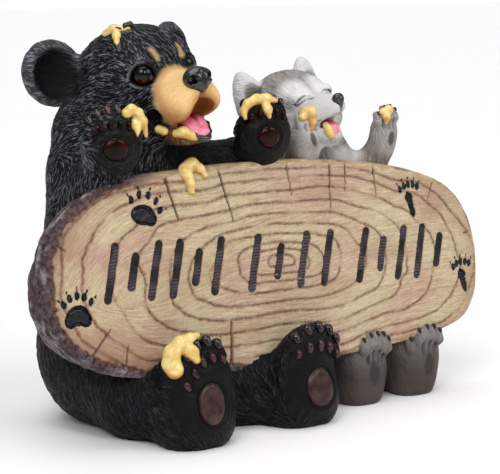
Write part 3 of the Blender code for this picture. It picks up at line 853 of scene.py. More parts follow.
furPiece("bear_head", bear, ((-140, -72, 148), (-8, 62, 232)), 0.7, 150000, [neckCut])
furPiece("bear_body", bear, ((-136, -60, -3), (24, 84, 192)), 0.85, 150000, [neckTop, bodyCut],
         bear["paws"][:2], [("bear_hand_pads", list(padOvals(bear["paws"][:2])), 1.1, handPadPaint, 9000)])
furPiece("bear_legs", bear, ((-136, -84, -3), (44, 60, 92)), 0.8, 112000, [legCut], bear["paws"][2:],
         [("bear_sole_pads", list(padOvals(bear["paws"][2:], toes=False)), 0.9, solePaint, 6000),
          ("bear_toe_pads", list(padOvals(bear["paws"][2:], palm=False)), 1.2, toePadPaint, 7000)])
furPiece("cub_head", cub, ((0, -52, 146), (84, 44, 216)), 0.6, 75000, [cubCut])
furPiece("cub_body", cub, ((8, -58, -3), (140, 64, 184)), 0.9, 100000, [cubTop], cub["paws"], dents=0.9)
print("animals done")


# Fine pieces on the animals: eyes, noses, tongues, claws.
def glossPiece(name, cell, low, high, shapes, material, most=9000, inner=None):
    clay = newClay(low, high, cell * quickCell)
    shapes(clay)
    piece = toMesh(name, *skinOf(clay), material)
    if inner:
        paintOn(piece.data, "inner", inner(pointsOf(piece.data)))
    return finishPiece(piece, most)


def boxRound(points, margin):
    points = np.array(points)
    return points.min(0) - margin, points.max(0) + margin


def headBox(animal, spot, margin):
    return boxRound([animal["head"] @ Vector(spot)], margin)


nostril = (5.4, -60.4, 4.3)  # in the bear's head


def bearNose(clay):
    within = bear["head"]
    addBall(clay, (0, -54.5, 4.8), (7.6, 6.2, 5.8), within, 2)
    addBall(clay, (0, -56.8, 1), (4.4, 4.4, 4.6), within, 3)
    x, y, z = nostril
    for side in (-1, 1):
        addBall(clay, (side * (x - 0.6), y + 4.4, z - 0.4), (3.7, 4.2, 4), within, 3)
        slit = [(side * x, y - 1, z, 2.6), (side * (x + 0.6), y + 3.2, z + 0.4, 2),
                (side * (x + 2.6), y + 2.4, z - 1.6, 1)]
        addLimb(clay, slit, within, 0.6, cut=True)
    septum = [(0, -59.8, 8.4, 0.8), (0, -60.9, 5, 1), (0, -61, -1, 1), (0, -60.4, -3, 0.8)]
    addLimb(clay, septum, within, 0.4, cut=True)

def nostrilShade(points):
    local = localPoints(points, bear["head"])
    x, y, z = nostril
    spots = [np.linalg.norm(local - np.array([side * x, y + 1.4, z]), axis=1) for side in (-1, 1)]
    groove = np.abs(local[:, 0]) + (local[:, 1] > -58.5) * 9
    return np.maximum(1 - smoothStep(2.5, 3.1, np.minimum(*spots)), 1 - smoothStep(0.5, 1.0, groove))


def cubNose(clay):
    within = cub["head"]
    addBall(clay, (0, -44.5, 0.4), (3.7, 3.1, 3.1), within, 2)
    addBall(clay, (0, -45.6, -2), (1.8, 1.7, 2.4), within, 2)
    for side in (-1, 1):
        addBall(clay, (side * 2, -47.2, 0.5), (0.8, 1, 0.7), within, 0.6, cut=True)


glossPiece("bear_nose", 0.4, *headBox(bear, (0, -56, 2), 14), bearNose, bearNosePaint, inner=nostrilShade)
glossPiece("cub_nose", 0.3, *headBox(cub, (0, -45, -1), 8), cubNose, nosePaint, 4000)


def bearTongue(clay):
    within = bear["head"]
    for t in np.linspace(0, 1, 10):
        middle = (0, -30 - 21.4 * t, -16 - 1.2 * t - 8.6 * t ** 4)
        addBall(clay, middle, (8.8 - 3.2 * t ** 3, 4.2 - 1.4 * t ** 3, 2.4 + 0.8 * t ** 3), within, 2)
    addLimb(clay, [(0, -40, -14.4, 0.7), (0, -46, -16.4, 0.7), (0, -51.6, -21, 0.6)], within, 2, cut=True)


def cubTongue(clay):
    within = cub["head"]
    for t in np.linspace(0, 1, 9):
        drop = max(0, (t - 0.4) / 0.6)
        middle = (-0.4, -26 - 8.8 * min(1, 1.5 * t), -12 - 6.6 * drop ** 1.3)
        addBall(clay, middle, (3.1 - 0.7 * drop, 2.1, 1.9), within, 1.5)


def bearLip(clay):
    rim = [(-8, -42, -18.6, 0.8), (-7.6, -48, -21.6, 1.0), (-5, -51.6, -25.4, 1.3), (-2, -53.6, -28, 1.6),
           (0, -54, -28.4, 1.6)]
    addLimb(clay, rim + flipped(rim)[-2::-1], bear["head"], 1)


def tongueRoot(points):
    return smoothStep(-50, -44, localPoints(points, bear["head"])[:, 1])


def cubTongueRoot(points):
    return 0.8 * smoothStep(-15, -11.5, localPoints(points, cub["head"])[:, 2])


glossPiece("bear_tongue", 0.5, *headBox(bear, (0, -46, -20), 20), bearTongue, tonguePaint, inner=tongueRoot)
glossPiece("cub_tongue", 0.4, *headBox(cub, (0, -32, -18), 12), cubTongue, tonguePaint, 4000,
           inner=cubTongueRoot)
glossPiece("bear_lip", 0.45, *headBox(bear, (0, -46, -24), 17), bearLip, nosePaint, 5000)


def eyePaint():
    p = Paint("eye_gloss")
    ring = p.span(p.attribute("iris"), 0.35, 0.6)
    colour = p.mix(ring, rgb(3, 2, 3), rgb(44, 14, 8))
    colour = p.mix(p.attribute("white"), colour, rgb(96, 90, 88))
    fine = p.noise(900, 2)
    return p.finish(colour, p.span(fine, 0.2, 0.8, 0.03, 0.07), fine, 0.02, coat=0.25, coatRough=0.02,
                    level=0.2)


def bearEyes(clay):
    for side in (-1, 1):
        radius = bear["eye"]["radius"]
        addBall(clay, (0, 0, 0), (radius, radius, radius), eyeSpace(bear, side), 0.5)


eyeBox = boxRound([bear["head"] @ Vector((side * 16, -27, 10)) for side in (-1, 1)], 9)
eyes = glossPiece("bear_eyes", 0.45, *eyeBox, bearEyes, eyePaint())
eyePoints = pointsOf(eyes.data)
iris, white = np.zeros(len(eyePoints)), np.zeros(len(eyePoints))
for side in (-1, 1):
    looking = localPoints(eyePoints, eyeSpace(bear, side))
    away = np.hypot(looking[:, 0], looking[:, 2] - 0.4) + (looking[:, 1] > 0) * 9
    ring = smoothStep(2.4, 3.4, away) * (1 - smoothStep(4.4, 5.4, away))
    iris = np.maximum(iris, ring * smoothStep(1.5, -2.5, looking[:, 2]))
    corner = np.hypot(looking[:, 0] + side * 4.6, looking[:, 2] + 2.2)
    white = np.maximum(white, (1 - smoothStep(0.8, 1.6, corner)) * (looking[:, 1] < 0))
paintOn(eyes.data, "iris", iris)
paintOn(eyes.data, "white", white)


def clawShapes(paws, size):
    def shapes(clay):
        for paw in paws:
            y = -0.3 * paw["palm"][1] - paw.get("forward", 0)
            for x, z, toe in paw["toes"]:
                chain = [(x * 1.04, y - toe * 0.1, z + toe * 2.2, toe * size),
                         (x * 1.05, y - toe * 0.5, z + toe * 2.3, toe * size),
                         (x * 1.05, y - toe * 0.9, z + toe * 1.9, toe * size * 0.8)]
                addLimb(clay, chain, pawFrame(paw), 0.8)
    return shapes


for name, paws, cell, size, paint, most in (
        ("bear_claws_high", bear["paws"][:2], 0.5, 0.56, handClawPaint, 9000),
        ("bear_claws_low", bear["paws"][2:], 0.5, 0.66, clawPaint, 12000),
        ("cub_claws_high", cub["paws"][:2], 0.45, 0.3, clawPaint, 5000),
        ("cub_claws_low", cub["paws"][2:], 0.45, 0.36, clawPaint, 7000)):
    glossPiece(name, cell, *boxRound([paw["at"] for paw in paws], 30), clawShapes(paws, size), paint, most)


# The log slice: its outline and lean, the cuts in its face, then its bark.
log = dict(
    centre=(0, -36, 90), lean=7, thickness=22,
    outline=[(-149, 4), (-147, 20), (-138, 34), (-119, 47), (-90, 54), (-40, 57), (10, 57.5), (60, 53.5),
             (100, 46), (129, 34), (144, 15), (149, -10), (144, -36), (126, -49), (80, -55), (20, -57.5),
             (-40, -56.5), (-88, -53), (-120, -44), (-141, -29), (-149, -12)],
    heart=(1, 1.5), rings=[0.055, 0.12, 0.19, 0.28, 0.38, 0.49, 0.61, 0.73, 0.85, 0.94],
    cell=0.62, barkCell=1.0,
)
strokeRows = dict(rows=[(-110, -42, 6), (-17, 34, 4), (60, 118, 5)], depth=1.7, width=5, tall=32, short=20,
                  slant=14, fall=2)
trackPlaces = [
    dict(at=(-88, 34), lean=10, pad=(7.6, 5.4), lobes=[(4.6, -2.6, 3.8)], middleToe=22, step=30, reach=11),
    dict(at=(-132, -15), lean=0, pad=(6.8, 5.4), lobes=[(4.4, -2.6, 3.8), (-4.6, -2.4, 3.8)],
         middleToe=0, step=26, reach=10.4),
    dict(at=(99, 25.5), lean=-15, pad=(2.2, 8), lobes=[(-1, 4, 3.1)], middleToe=-4, step=17, reach=11.8),
    dict(at=(136.5, -23.5), lean=-14, pad=(2.2, 7.6), lobes=[(-0.9, 3.8, 3)], middleToe=-5, step=17,
         reach=11.4),
]
crackLines = [((-38, -57), (-36, -29), 1.5), ((-130, -42), (-113, -24), 0.9), ((-74, 57), (-66, 30), 1.2),
              ((-38, 57), (-30, 26), 0.9), ((9, 58), (11, 37), 0.6), ((40, 56), (38.5, 28), 0.8),
              ((51, 55), (50, 37), 0.6),
              ((71, 54), (73, 33), 0.8), ((-107, -50), (-103, -34), 0.7), ((-148, 26), (-137, 19), 0.9),
              ((148, 5), (139, 5), 1.2), ((118, 40), (112, 28), 0.6), ((-45, -57), (-44, -36), 0.6)]


def smoothLoop(points, steps):
    points = np.array(points, float)
    p0, p1, p2, p3 = (np.roll(points, -k, 0)[:, None] for k in (-1, 0, 1, 2))
    t = np.linspace(0, 1, steps, endpoint=False)[None, :, None]
    bend = (2 * p0 - 5 * p1 + 4 * p2 - p3) * t ** 2 + (3 * p1 - p0 - 3 * p2 + p3) * t ** 3
    curve = 0.5 * (2 * p1 + (p2 - p0) * t + bend)
    return curve.reshape(-1, 2)


loop = smoothLoop(log["outline"], 6)
faceMatrix = Matrix.Translation(log["centre"]) @ Matrix.Rotation(math.radians(-log["lean"]), 4, "X")
faceTurn = np.array(faceMatrix.to_3x3(), np.float32).T


def leaned(points):  # from the flat face to where the log stands
    return points @ faceTurn + np.array(faceMatrix.translation, np.float32)


def offSegment(x, z, a, b):  # share of the way along the segment, and the offset from it
    dx, dz = b[0] - a[0], b[1] - a[1]
    t = np.clip(((x - a[0]) * dx + (z - a[1]) * dz) / (dx * dx + dz * dz), 0, 1)
    return t, x - a[0] - t * dx, z - a[1] - t * dz


def turned(x, z, at, lean):  # across and along a shape that leans by so many radians
    across = (x - at[0]) * math.cos(lean) - (z - at[1]) * math.sin(lean)
    return across, (x - at[0]) * math.sin(lean) + (z - at[1]) * math.cos(lean)


def edgeDistance(x, z):  # to the outline, negative inside
    best = np.full(np.broadcast(x, z).shape, 1e9, np.float32)
    inside = np.zeros(best.shape, bool)
    for a, b in zip(loop, np.roll(loop, -1, 0)):
        _, offX, offZ = offSegment(x, z, a, b)
        best = np.minimum(best, offX ** 2 + offZ ** 2)
        inside ^= ((a[1] > z) != (b[1] > z)) & (x < (b[0] - a[0]) * (z - a[1]) / (b[1] - a[1] + 1e-12) + a[0])
    return np.where(inside, -np.sqrt(best), np.sqrt(best))


def ringMarks(x, z, flat):  # growth rings, and the share of the way out from the heart
    hx, hz = log["heart"]
    rimAngle = np.arctan2(loop[:, 1] - hz, loop[:, 0] - hx)
    rimReach = np.hypot(loop[:, 0] - hx, loop[:, 1] - hz)
    order = np.argsort(rimAngle)
    reach = np.interp(np.arctan2(z - hz, x - hx), rimAngle[order], rimReach[order], period=2 * math.pi)
    part = np.hypot(x - hx, z - hz) / reach
    wobble = 0.055 * noiseAt(flat, 42, 1.1) * np.minimum(1, part * 2.5)
    part = part + (wobble + 0.022 * noiseAt(flat, 15, 2.2) + 0.004 * noiseAt(flat, 3, 3.3))
    slope = np.hypot(*np.gradient(part, log["cell"] * quickCell)) + 1e-4
    ring, stain = np.zeros_like(x), np.zeros_like(x)
    for number, level in enumerate(log["rings"]):
        gap = np.abs(part - level) / slope
        broken = smoothStep(-0.75, -0.2, noiseAt(flat, 12, 10.1 + number))
        ring = np.maximum(ring, np.exp(-(gap / 0.6) ** 2) * (0.35 + 0.65 * broken))
        blot = np.exp(-((gap + 0.5 * noiseAt(flat, 2.5, 12.3)) / 1.15) ** 2)
        stain = np.maximum(stain, blot * (0.3 + 0.7 * broken))
    return ring, stain * (0.45 + 0.55 * smoothStep(0, -70, x)), part


def strokeMarks(x, z, flat):
    stroke = np.zeros_like(x)
    lean = math.radians(strokeRows["slant"])
    for first, last, count in strokeRows["rows"]:
        for number in range(count):
            cx = first + (last - first) * number / (count - 1)
            cz = 1 - cx * math.tan(math.radians(strokeRows["fall"]))
            half = (strokeRows["tall"] if number % 3 != 1 else strokeRows["short"]) / 2 - 2
            across, along = turned(x, z, (cx, cz), lean)
            across = across + 0.35 * noiseAt(flat, 5, number + 0.7)
            gap = np.hypot(across, np.maximum(np.abs(along) - half, 0)) - strokeRows["width"] / 2
            stroke = np.maximum(stroke, smoothStep(0.4, -0.5, gap))
    return stroke


def strokeRidges(flat):  # fine steps down each stroke
    return np.sin((flat[..., 2] + 0.4 * noiseAt(flat, 3, 9.9)) * 2 * math.pi / 1.7)


def trackMarks(x, z):  # each track is a pad with lobes, five toes and their claws
    track, bowl = np.zeros_like(x), np.zeros_like(x)
    for place in trackPlaces:
        ax, az = place["at"]
        pad = [(place["at"], place["lean"], place["pad"])]
        spots = [pad + [((ax + dx, az + dz), 0, (size, size)) for dx, dz, size in place["lobes"]]]
        for toe in range(5):
            lean = place["middleToe"] + place["step"] * (toe - 2)
            way = np.array([math.sin(math.radians(lean)), math.cos(math.radians(lean))])
            spots.append([((ax, az) + place["reach"] * way, 0.5 * lean, (1.6, 2.3))])
            spots.append([((ax, az) + (place["reach"] + 3.7) * way, 0.7 * lean, (0.5, 1.1))])
        for group in spots:
            size = np.full_like(x, 9)
            for at, lean, (wide, tall) in group:
                across, along = turned(x, z, at, math.radians(lean))
                size = np.minimum(size, np.hypot(across / wide, along / tall))
            track = np.maximum(track, smoothStep(1.06, 0.96, size))
            bowl = np.maximum(bowl, np.exp(-((size - 0.84) / 0.15) ** 2) + 0.35 * smoothStep(1, 0.8, size))
    return track, bowl


def crackMarks(x, z, flat):
    crack = np.zeros_like(x)
    for a, b, width in crackLines:
        t, offX, offZ = offSegment(x, z, a, b)
        gap = np.hypot(offX + 0.5 * noiseAt(flat, 6, 6.6), offZ)
        crack = np.maximum(crack, smoothStep(1.0, 0.35, gap / (width * (1.15 - 0.6 * t))))
    return crack


def faceRelief(x, z):  # depth of every cut at (x, z) on the face, and a mask for each kind
    flat = np.stack([x, np.zeros_like(x), z], -1).astype(np.float32)
    ring, stain, part = ringMarks(x, z, flat)
    stroke, crack = strokeMarks(x, z, flat), crackMarks(x, z, flat)
    track, bowl = trackMarks(x, z)
    grain = noiseAt(flat * np.array([0.05, 1, 1.0], np.float32), 0.8, 4.4)
    grain = grain + 0.5 * noiseAt(flat * np.array([0.12, 1, 1], np.float32), 1.6, 8.4)
    edge = edgeDistance(x, z)
    wear = smoothStep(-4.2, 0.0, edge + 1.8 * noiseAt(flat, 6, 7.7) + noiseAt(flat, 2.5, 3.7))
    lowLeft = smoothStep(-22, -45, z) * smoothStep(20, -45, x)
    ashore = np.maximum(smoothStep(-62, -105, x), lowLeft)  # where bark meets the face
    depth = 0.75 * ring + 0.13 * grain * (1 - stroke)
    depth = depth + stroke * (strokeRows["depth"] + 0.2 * strokeRidges(flat)) + 1.5 * bowl + 0.25 * track
    depth = depth + 1.1 * crack + 0.9 * wear + 0.25 * noiseAt(flat, 22, 5.1)
    return dict(depth=depth, ring=ring, stain=stain * (1 - stroke), stroke=stroke, track=track, crack=crack,
                edge=edge, wear=wear, part=part, ashore=ashore)


def onGrid(image, points, low, cell):  # bilinear look-up of a face image at the points' x and z
    q = (points[:, [0, 2]] - np.array(low, np.float32)) / cell
    base = np.clip(np.floor(q).astype(int), 0, np.array(image.shape) - 2)
    f = np.clip(q - base, 0, 1)
    i, j = base[:, 0], base[:, 1]
    lower = mixed(image[i, j], image[i + 1, j], f[:, 0])
    return mixed(lower, mixed(image[i, j + 1], image[i + 1, j + 1], f[:, 0]), f[:, 1])


def woodPaint():
    p = Paint("carved_wood")
    spin = (math.radians(7), 0, 0)
    scratch = p.streaks(1500, 0.006, 8)
    fibre = p.streaks(2600, 0.003, 6)
    cloud = p.noise(26, 3, 0.55, stretch=(0.7, 1, 1), spin=spin)
    patch = p.noise(60, 4, 0.6, stretch=(0.4, 1, 1.3), spin=spin)
    fleck = p.noise(420, 4, 0.7)
    colour = p.mix(p.span(patch, 0.35, 0.66), rgb(193, 178, 146), rgb(180, 157, 126))
    colour = p.mix(p.math("MULTIPLY", p.span(cloud, 0.46, 0.62), 0.6), colour, rgb(174, 138, 124))
    colour = p.mix(p.span(scratch, 0.5, 0.62, 0.0, 0.5), colour, rgb(124, 94, 74))
    colour = p.mix(p.span(scratch, 0.5, 0.4, 0.0, 0.45), colour, rgb(226, 212, 178))
    colour = p.mix(p.span(fleck, 0.5, 0.72, 0.0, 0.35), colour, rgb(140, 106, 84))
    colour = p.mix(p.attribute("shade"), colour, rgb(142, 100, 78))
    for mark, span, tone in (("stain", (0.4, 0.6, 0.15, 0.8), rgb(134, 84, 62)),
                             ("ring", (0.3, 0.6, 0.45, 0.95), rgb(88, 50, 36))):
        colour = p.mix(p.math("MULTIPLY", p.attribute(mark), p.span(fleck, *span)), colour, tone)
    colour = p.mix(p.attribute("crack"), colour, rgb(72, 44, 30))
    chafed = p.mix(p.span(fleck, 0.4, 0.6), rgb(46, 25, 25), rgb(104, 68, 58))
    colour = p.mix(p.attribute("wear"), colour, chafed)
    strokeColour = p.mix(p.attribute("crest"), rgb(24, 17, 19), rgb(90, 78, 82))
    colour = p.mix(p.span(p.attribute("stroke"), 0.3, 0.6), colour, strokeColour)
    ink = p.mix(p.span(patch, 0.45, 0.75), rgb(10, 11, 14), rgb(32, 35, 44))
    colour = p.mix(p.span(p.attribute("track"), 0.3, 0.6), colour, ink)
    rough = p.mix(p.attribute("track"), (0.62, 0.62, 0.62), (0.22, 0.22, 0.22))
    height = p.math("ADD", p.math("MULTIPLY", scratch, 0.6), p.math("MULTIPLY", fibre, 0.4))
    return p.finish(colour, rough, height, 0.45, coat=0.05, coatRough=0.3, level=0.3)


def barkPaint():
    p = Paint("bark")
    lump = p.noise(420, 5, 0.7)
    crest = p.math("MULTIPLY", p.attribute("crest"), p.span(lump, 0.4, 0.62, 0.2, 0.95))
    grain = p.span(p.noise(90, 4, stretch=(1, 0.15, 1)), 0.35, 0.65)
    colour = p.mix(p.span(lump, 0.38, 0.62), rgb(28, 19, 21), rgb(92, 74, 76))
    colour = p.mix(crest, colour, rgb(156, 144, 148))
    colour = p.mix(p.attribute("plain"), colour, p.mix(grain, rgb(196, 174, 136), rgb(140, 110, 86)))
    return p.finish(colour, p.span(lump, 0.3, 0.7, 0.55, 0.75), lump, 0.9, level=0.25)


def faceClay():
    cell = log["cell"] * quickCell
    low = (-153, -2.4, -62)
    clay = newClay(low, (153, 4.4, 62), cell)
    space = wholeSpace(clay)
    x, z = np.meshgrid(space[0].ravel(), space[2].ravel(), indexing="ij")
    relief = faceRelief(x.astype(np.float32), z.astype(np.float32))
    edge = relief["edge"] + 0.9 + 0.5 * relief["wear"]
    front = relief["depth"][:, None, :] - space[1]
    corner = np.hypot(np.maximum(front + 1, 0), np.maximum(edge[:, None, :] + 1, 0)) - 1
    solid = np.maximum(np.maximum(front, edge[:, None, :]), corner)
    clay["field"] = np.maximum(solid, space[1] - 3).astype(np.float32)
    return clay, relief, (low[0], low[2]), cell


clay, relief, corner, cell = faceClay()
face = toMesh("log_face", *skinOf(clay), woodPaint())
spots = pointsOf(face.data)
x, z = spots[:, 0], spots[:, 2]
marks = {key: onGrid(relief[key], spots, corner, cell) for key in relief if key != "depth"}
for key in ("ring", "stain", "stroke", "track", "crack"):
    paintOn(face.data, key, marks[key])
rim = marks["edge"] + 1.5 * noiseAt(spots, 6, 7.7) + noiseAt(spots, 2.2, 3.7)
worn = 0.8 * smoothStep(-4.8, -3.2, rim) + 0.2 * smoothStep(-11, -4, rim)
paintOn(face.data, "wear", worn * marks["ashore"])
cloud = noiseAt(spots * np.array([0.5, 1, 1], np.float32), 18, 3.9)
upper = 1 - 0.8 * smoothStep(36, 48, z)  # painted light: the top band gets less of the painted shade, so it is lighter
shade = 0.35 * smoothStep(0.75, 1.02, marks["part"] + 0.1 * cloud)
shade = shade + 0.3 * marks["wear"] ** 2 * (1 - marks["ashore"]) + 0.25 * smoothStep(0.1, 0.7, cloud)
paintOn(face.data, "shade", upper * shade)
crest = 0.5 - 0.5 * strokeRidges(spots * np.array([1, 0, 1], np.float32))
paintOn(face.data, "crest", crest * smoothStep(-0.6, 0.5, noiseAt(spots, 7, 2.8)))
tilt = 0.75 * smoothStep(-60, -150, x) * np.sign(z + 12) - 0.25 * smoothStep(70, 150, x)
tilt = 0.12 + tilt + 0.3 * noiseAt(spots, 24, 6.4)
combOn(face.data, np.stack([np.cos(tilt), 0 * tilt, np.sin(tilt)], -1) @ faceTurn)
moveTo(face.data, leaned(spots))
finishPiece(face, 185000)


def hoopAt(x, z):  # rough way round the rim
    return np.arctan2(z * 2.2, x) * 95


def barkBumps(hoop, y):
    around = np.stack(np.broadcast_arrays(hoop * 0.16, y * 0.62, 0 * hoop), -1).astype(np.float32)
    lumps = np.stack(np.broadcast_arrays(hoop * 0.5, y, 0 * hoop), -1).astype(np.float32)
    return 0.7 * noiseAt(around, 1.5, 3.1) + 0.7 * noiseAt(lumps, 4, 5.2) + 0.5 * noiseAt(lumps, 2, 7.9)


def barkClay():
    thick = log["thickness"]
    clay = newClay((-156, -0.5, -65), (156, thick + 2, 65), log["barkCell"] * quickCell)
    space = wholeSpace(clay)
    y = space[1]
    x, z = np.meshgrid(space[0].ravel(), space[2].ravel(), indexing="ij")
    edge = edgeDistance(x, z)
    swell = 1.3 * (1 - ((y - thick / 2) / (thick / 2)) ** 2)
    rough = (0.3 + 0.7 * smoothStep(-60, -120, x))[:, None, :]  # bark stays on the left end only
    taper = 4.5 * (smoothStep(-50, -110, x) * smoothStep(0, 25, z))[:, None, :] * smoothStep(5, thick, y)
    side = edge[:, None, :] - rough * (swell + barkBumps(hoopAt(x, z)[:, None, :], y)) + taper
    # behind the carving, up to the face at the rim
    front = mixed(2.9, 0.6, smoothStep(-7, -2, edge))[:, None, :] - y
    ends = np.maximum(front, y - thick)
    corner = np.hypot(np.maximum(side + 2, 0), np.maximum(ends + 2, 0)) - 2
    clay["field"] = np.maximum(np.maximum(ends, side), corner).astype(np.float32)
    return clay


bark = toMesh("log_bark", *skinOf(barkClay()), barkPaint())
spots = pointsOf(bark.data)
x, y, z = spots[:, 0], spots[:, 1], spots[:, 2]
paintOn(bark.data, "crest", smoothStep(0.0, 0.9, barkBumps(hoopAt(x, z), y)))
bare = np.minimum(smoothStep(-100, -60, x), smoothStep(-52, -30, z) + smoothStep(20, 60, x))
paintOn(bark.data, "plain", np.maximum(smoothStep(20.5, 21.6, y), bare))
moveTo(bark.data, leaned(spots))
finishPiece(bark, 60000)
print("log slice done")


# Honey and the bee: each spot of honey is a limb.
honey = dict(
    rightPaw=[(-102, -37, 179.4, 2.8), (-99.4, -38, 181.4, 2.7), (-95.4, -38.5, 179.4, 2.4),
              (-92.6, -39, 175, 2), (-90.8, -38.5, 167, 1.1)],
    rightPawDrip=[(-97.8, -38.5, 177.8, 1.8), (-98, -39, 173, 2.7), (-97.4, -39.2, 170.5, 2.1),
                  (-96.8, -39.3, 167.4, 0.8)],
    leftPaw=[(-23.6, -35, 172.6, 1.2), (-25, -35, 176.6, 2.0), (-22.4, -35.5, 180.6, 2.5),
             (-16.8, -36, 183, 2.8), (-10, -36, 183, 2.9), (-3.6, -36, 181.8, 1.5)],
    leftPawDrip=[(-13, -37, 181.6, 2.4), (-10.6, -38, 177.3, 2.6), (-9.8, -38.4, 172.8, 1.2)],
    chin=[(-71, -38, 166.8, 2.4), (-67.5, -39.8, 167.4, 3), (-63.6, -41.2, 165.4, 2.4),
          (-61.2, -41.8, 163.8, 1.5)],
    chinDrop=[(-77.6, -31, 169, 2.5), (-75.2, -32.6, 168, 2.4)],
    signTop=[(-62, -32, 146.6, 3.6), (-57.4, -32, 149, 3.8), (-52.6, -33, 146.4, 2.6),
             (-50.2, -34.4, 142.6, 1.6)],
    signDrip=[(-62, -33, 145, 3.6), (-61, -35.4, 140, 2.8), (-60.6, -36.4, 134.8, 1.8)],
    foot=[(-79, -68, 63, 1.8), (-83.4, -68, 62.4, 2.6), (-89, -67, 60, 3.8), (-92.6, -65, 55, 4.5),
          (-92.6, -64, 49, 5), (-91, -65, 45.5, 4.8)],
    footDrip=[(-88, -68.5, 58.4, 4.2), (-83.8, -70, 54.9, 3.8), (-81, -70.5, 50.5, 2.2)],
    cubHand=[(20.6, -29, 170.6, 2.6), (22.4, -30, 173.6, 3), (25.6, -31, 173.4, 3), (25.6, -32, 168.4, 2.4),
             (24.8, -32.4, 164.6, 1.5)],
    cubMouth=[(-5, -34.4, -12.6, 2.0), (-5.4, -36, -15.4, 2.5), (-5.2, -36.8, -19.2, 1.9)],  # in the cub's head
    cubFingers=[(80.6, -27.6, 170.6, 2.2), (85.4, -27.6, 171.8, 2.4), (82.4, -29.4, 167.4, 2),
                (82, -29.6, 164.4, 1.2)],
    pool=[(-90, 2, 219.4, 2.4), (-86, 0.5, 221.4, 2.9), (-80, -1.5, 220.8, 2.6), (-74, -1, 220.6, 2.4),
          (-69.6, 0, 219.4, 1.8)],
    poolNeck=[(-84, 0.4, 219.6, 2.1), (-85.6, -2.4, 217, 2)],
    poolDrop=[(-85, -1.6, 217.6, 2.4), (-86.6, -4.4, 214.4, 1.4), (-87, -5.4, 212.6, 0.6)],
)


def honeyPaint():
    p = Paint("honey_gloss")
    cloud = p.noise(220, 3)
    colour = p.mix(p.span(cloud, 0.35, 0.7), rgb(216, 178, 88), rgb(240, 220, 150))
    # painted shade: darker ochre where the honey faces down
    colour = p.mix(p.attribute("shadedUnderside"), colour, rgb(184, 118, 32))
    return p.finish(colour, p.span(p.noise(900, 2), 0.3, 0.7, 0.26, 0.38), cloud, 0.5, coat=0.35, coatRough=0.1)


# a spot slides this way until its middle lies just over what is behind it, in step with its neighbours
slide = Vector((0.58, 0.8, -0.15)).normalized()


def settled(chain, grounds, spread=2.5, start=5, most=17):
    depsgraph = bpy.context.evaluated_depsgraph_get()
    gaps = []
    for x, y, z, thick in chain:
        away = Vector((x, y, z)) - slide * start
        hits = [ground.ray_cast(away * mm, slide, distance=(start + most) * mm, depsgraph=depsgraph)
                for ground in grounds]
        reached = [(hit[1] / mm - away).length - start - 0.35 * thick for hit in hits if hit[0]]
        gaps.append(min(reached, default=most))
    found = sorted(gap for gap in gaps if gap < most - 1)
    middle = found[len(found) // 2] if found else 0
    moves = [min(max(gap if gap < most - 1 else middle, middle - spread), middle + spread) for gap in gaps]
    return [(*(Vector(spot[:3]) + slide * move), spot[3]) for spot, move in zip(chain, moves)]


honey["cubMouth"] = [(*(cub["head"] @ Vector(spot[:3])), spot[3]) for spot in honey["cubMouth"]]
grounds = [bpy.data.objects[name] for name in (
    "bear_head", "bear_body", "bear_legs", "cub_head", "cub_body", "log_face", "log_bark", "bear_tongue",
    "cub_tongue", "bear_lip")]


clay = newClay((-110, -80, 34), (96, 16, 232), 0.7 * quickCell)
for chain in honey.values():
    addLimb(clay, settled(chain, grounds), blend=1.4)
honeyPiece = toMesh("honey", *skinOf(clay), honeyPaint())
honeyPoints, honeyNormals = pointsOf(honeyPiece.data), normalsOf(honeyPiece.data)
# painted shade: darker ochre on the downward-facing sides of the honey, broken up by noise
under = -honeyNormals[:, 2] * 0.8 + 0.45 * noiseAt(honeyPoints, 3.4)
paintOn(honeyPiece.data, "shadedUnderside", 0.95 * smoothStep(-0.15, 0.9, under))
honeyPiece = finishPiece(honeyPiece, 20000)


def beeShapes(clay):
    for chain in ([(-81, -2.4, 221.2, 1.1), (-80, -2.2, 223.6, 1.3), (-76.8, -1.8, 224, 1.6),
                   (-74.4, -2, 221.6, 1.2)],
                  [(-86.6, -3.4, 222.6, 0.8), (-82.6, -4.2, 221.6, 0.9)]):
        addLimb(clay, settled(chain, [grounds[0], honeyPiece], spread=0), blend=1)


glossPiece("bee_body", 0.35, (-84, -6, 218), (-68, 8, 232), beeShapes, nosePaint)
print("small pieces done")


# Floor, light and camera.
def stagePlane():
    mesh = bpy.data.meshes.new("floor")
    mesh.from_pydata([(-9, -9, 0), (9, -9, 0), (9, 9, 0), (-9, 9, 0)], [], [(0, 1, 2, 3)])
    p = Paint("floor_paint")
    cloud = p.noise(3, 2)
    colour = p.mix(cloud, rgb(249, 249, 249), rgb(251, 251, 251))
    mesh.materials.append(p.finish(colour, p.span(cloud, 0.3, 0.7, 0.85, 0.9)))
    floor = bpy.data.objects.new("floor", mesh)
    bpy.context.scene.collection.objects.link(floor)


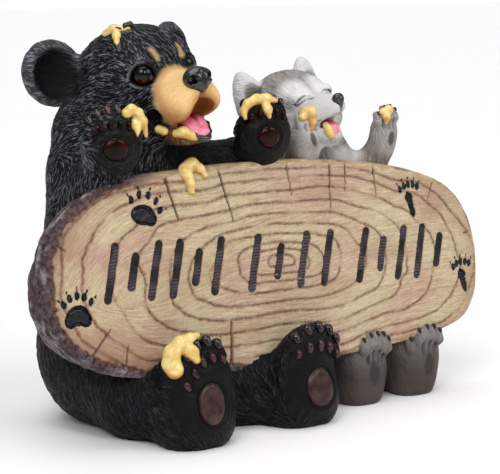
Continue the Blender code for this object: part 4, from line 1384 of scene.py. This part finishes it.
def softLight(name, spot, aim, size, power):
    lamp = bpy.data.lights.new(name, "AREA")
    lamp.shape = "RECTANGLE"
    lamp.size, lamp.size_y = size
    lamp.energy = power
    holder = bpy.data.objects.new(name, lamp)
    holder.location = spot
    holder.rotation_euler = (Vector(aim) - Vector(spot)).to_track_quat("-Z", "Y").to_euler()
    bpy.context.scene.collection.objects.link(holder)


def softSun(name, toward, power, spread):
    lamp = bpy.data.lights.new(name, "SUN")
    lamp.energy = power
    lamp.angle = math.radians(spread)
    holder = bpy.data.objects.new(name, lamp)
    holder.rotation_euler = Vector(toward).to_track_quat("Z", "Y").to_euler()
    bpy.context.scene.collection.objects.link(holder)


def placeCamera():
    camera = bpy.data.objects.new("camera", bpy.data.cameras.new("camera"))
    camera.data.lens = 129.6
    camera.data.sensor_width = 36
    camera.location = (-0.5990, -0.8313, 0.2535)
    turn, drop = math.radians(36), math.radians(8.5)
    aim = Vector((math.sin(turn) * math.cos(drop), math.cos(turn) * math.cos(drop), -math.sin(drop)))
    camera.rotation_euler = aim.to_track_quat("-Z", "Y").to_euler()
    camera.data.clip_start = 0.01
    bpy.context.scene.collection.objects.link(camera)
    bpy.context.scene.camera = camera


stagePlane()
softSun("key_left", (-0.62, -0.55, 0.75), 1.25, 30)
softSun("fill_right", (0.55, -0.75, 0.6), 0.75, 30)
softSun("top", (0, 0.1, 1), 1.15, 50)
softLight("window", (-0.25, -1.5, 1.15), (-0.03, -0.03, 0.13), (0.24, 0.34), 5)
world = bpy.data.worlds.new("studio")
world.use_nodes = True
world.node_tree.nodes["Background"].inputs["Color"].default_value = (1, 1, 1, 1)
seen = world.node_tree.nodes.new("ShaderNodeLightPath")
glow = world.node_tree.nodes.new("ShaderNodeMapRange")  # a white backdrop that gives only a little light
glow.inputs["To Min"].default_value = 0.3
glow.inputs["To Max"].default_value = 1.0
world.node_tree.links.new(seen.outputs["Is Camera Ray"], glow.inputs["Value"])
world.node_tree.links.new(glow.outputs["Result"], world.node_tree.nodes["Background"].inputs["Strength"])
bpy.context.scene.world = world
bpy.context.scene.view_settings.view_transform = "Standard"
placeCamera()

print("stage done")
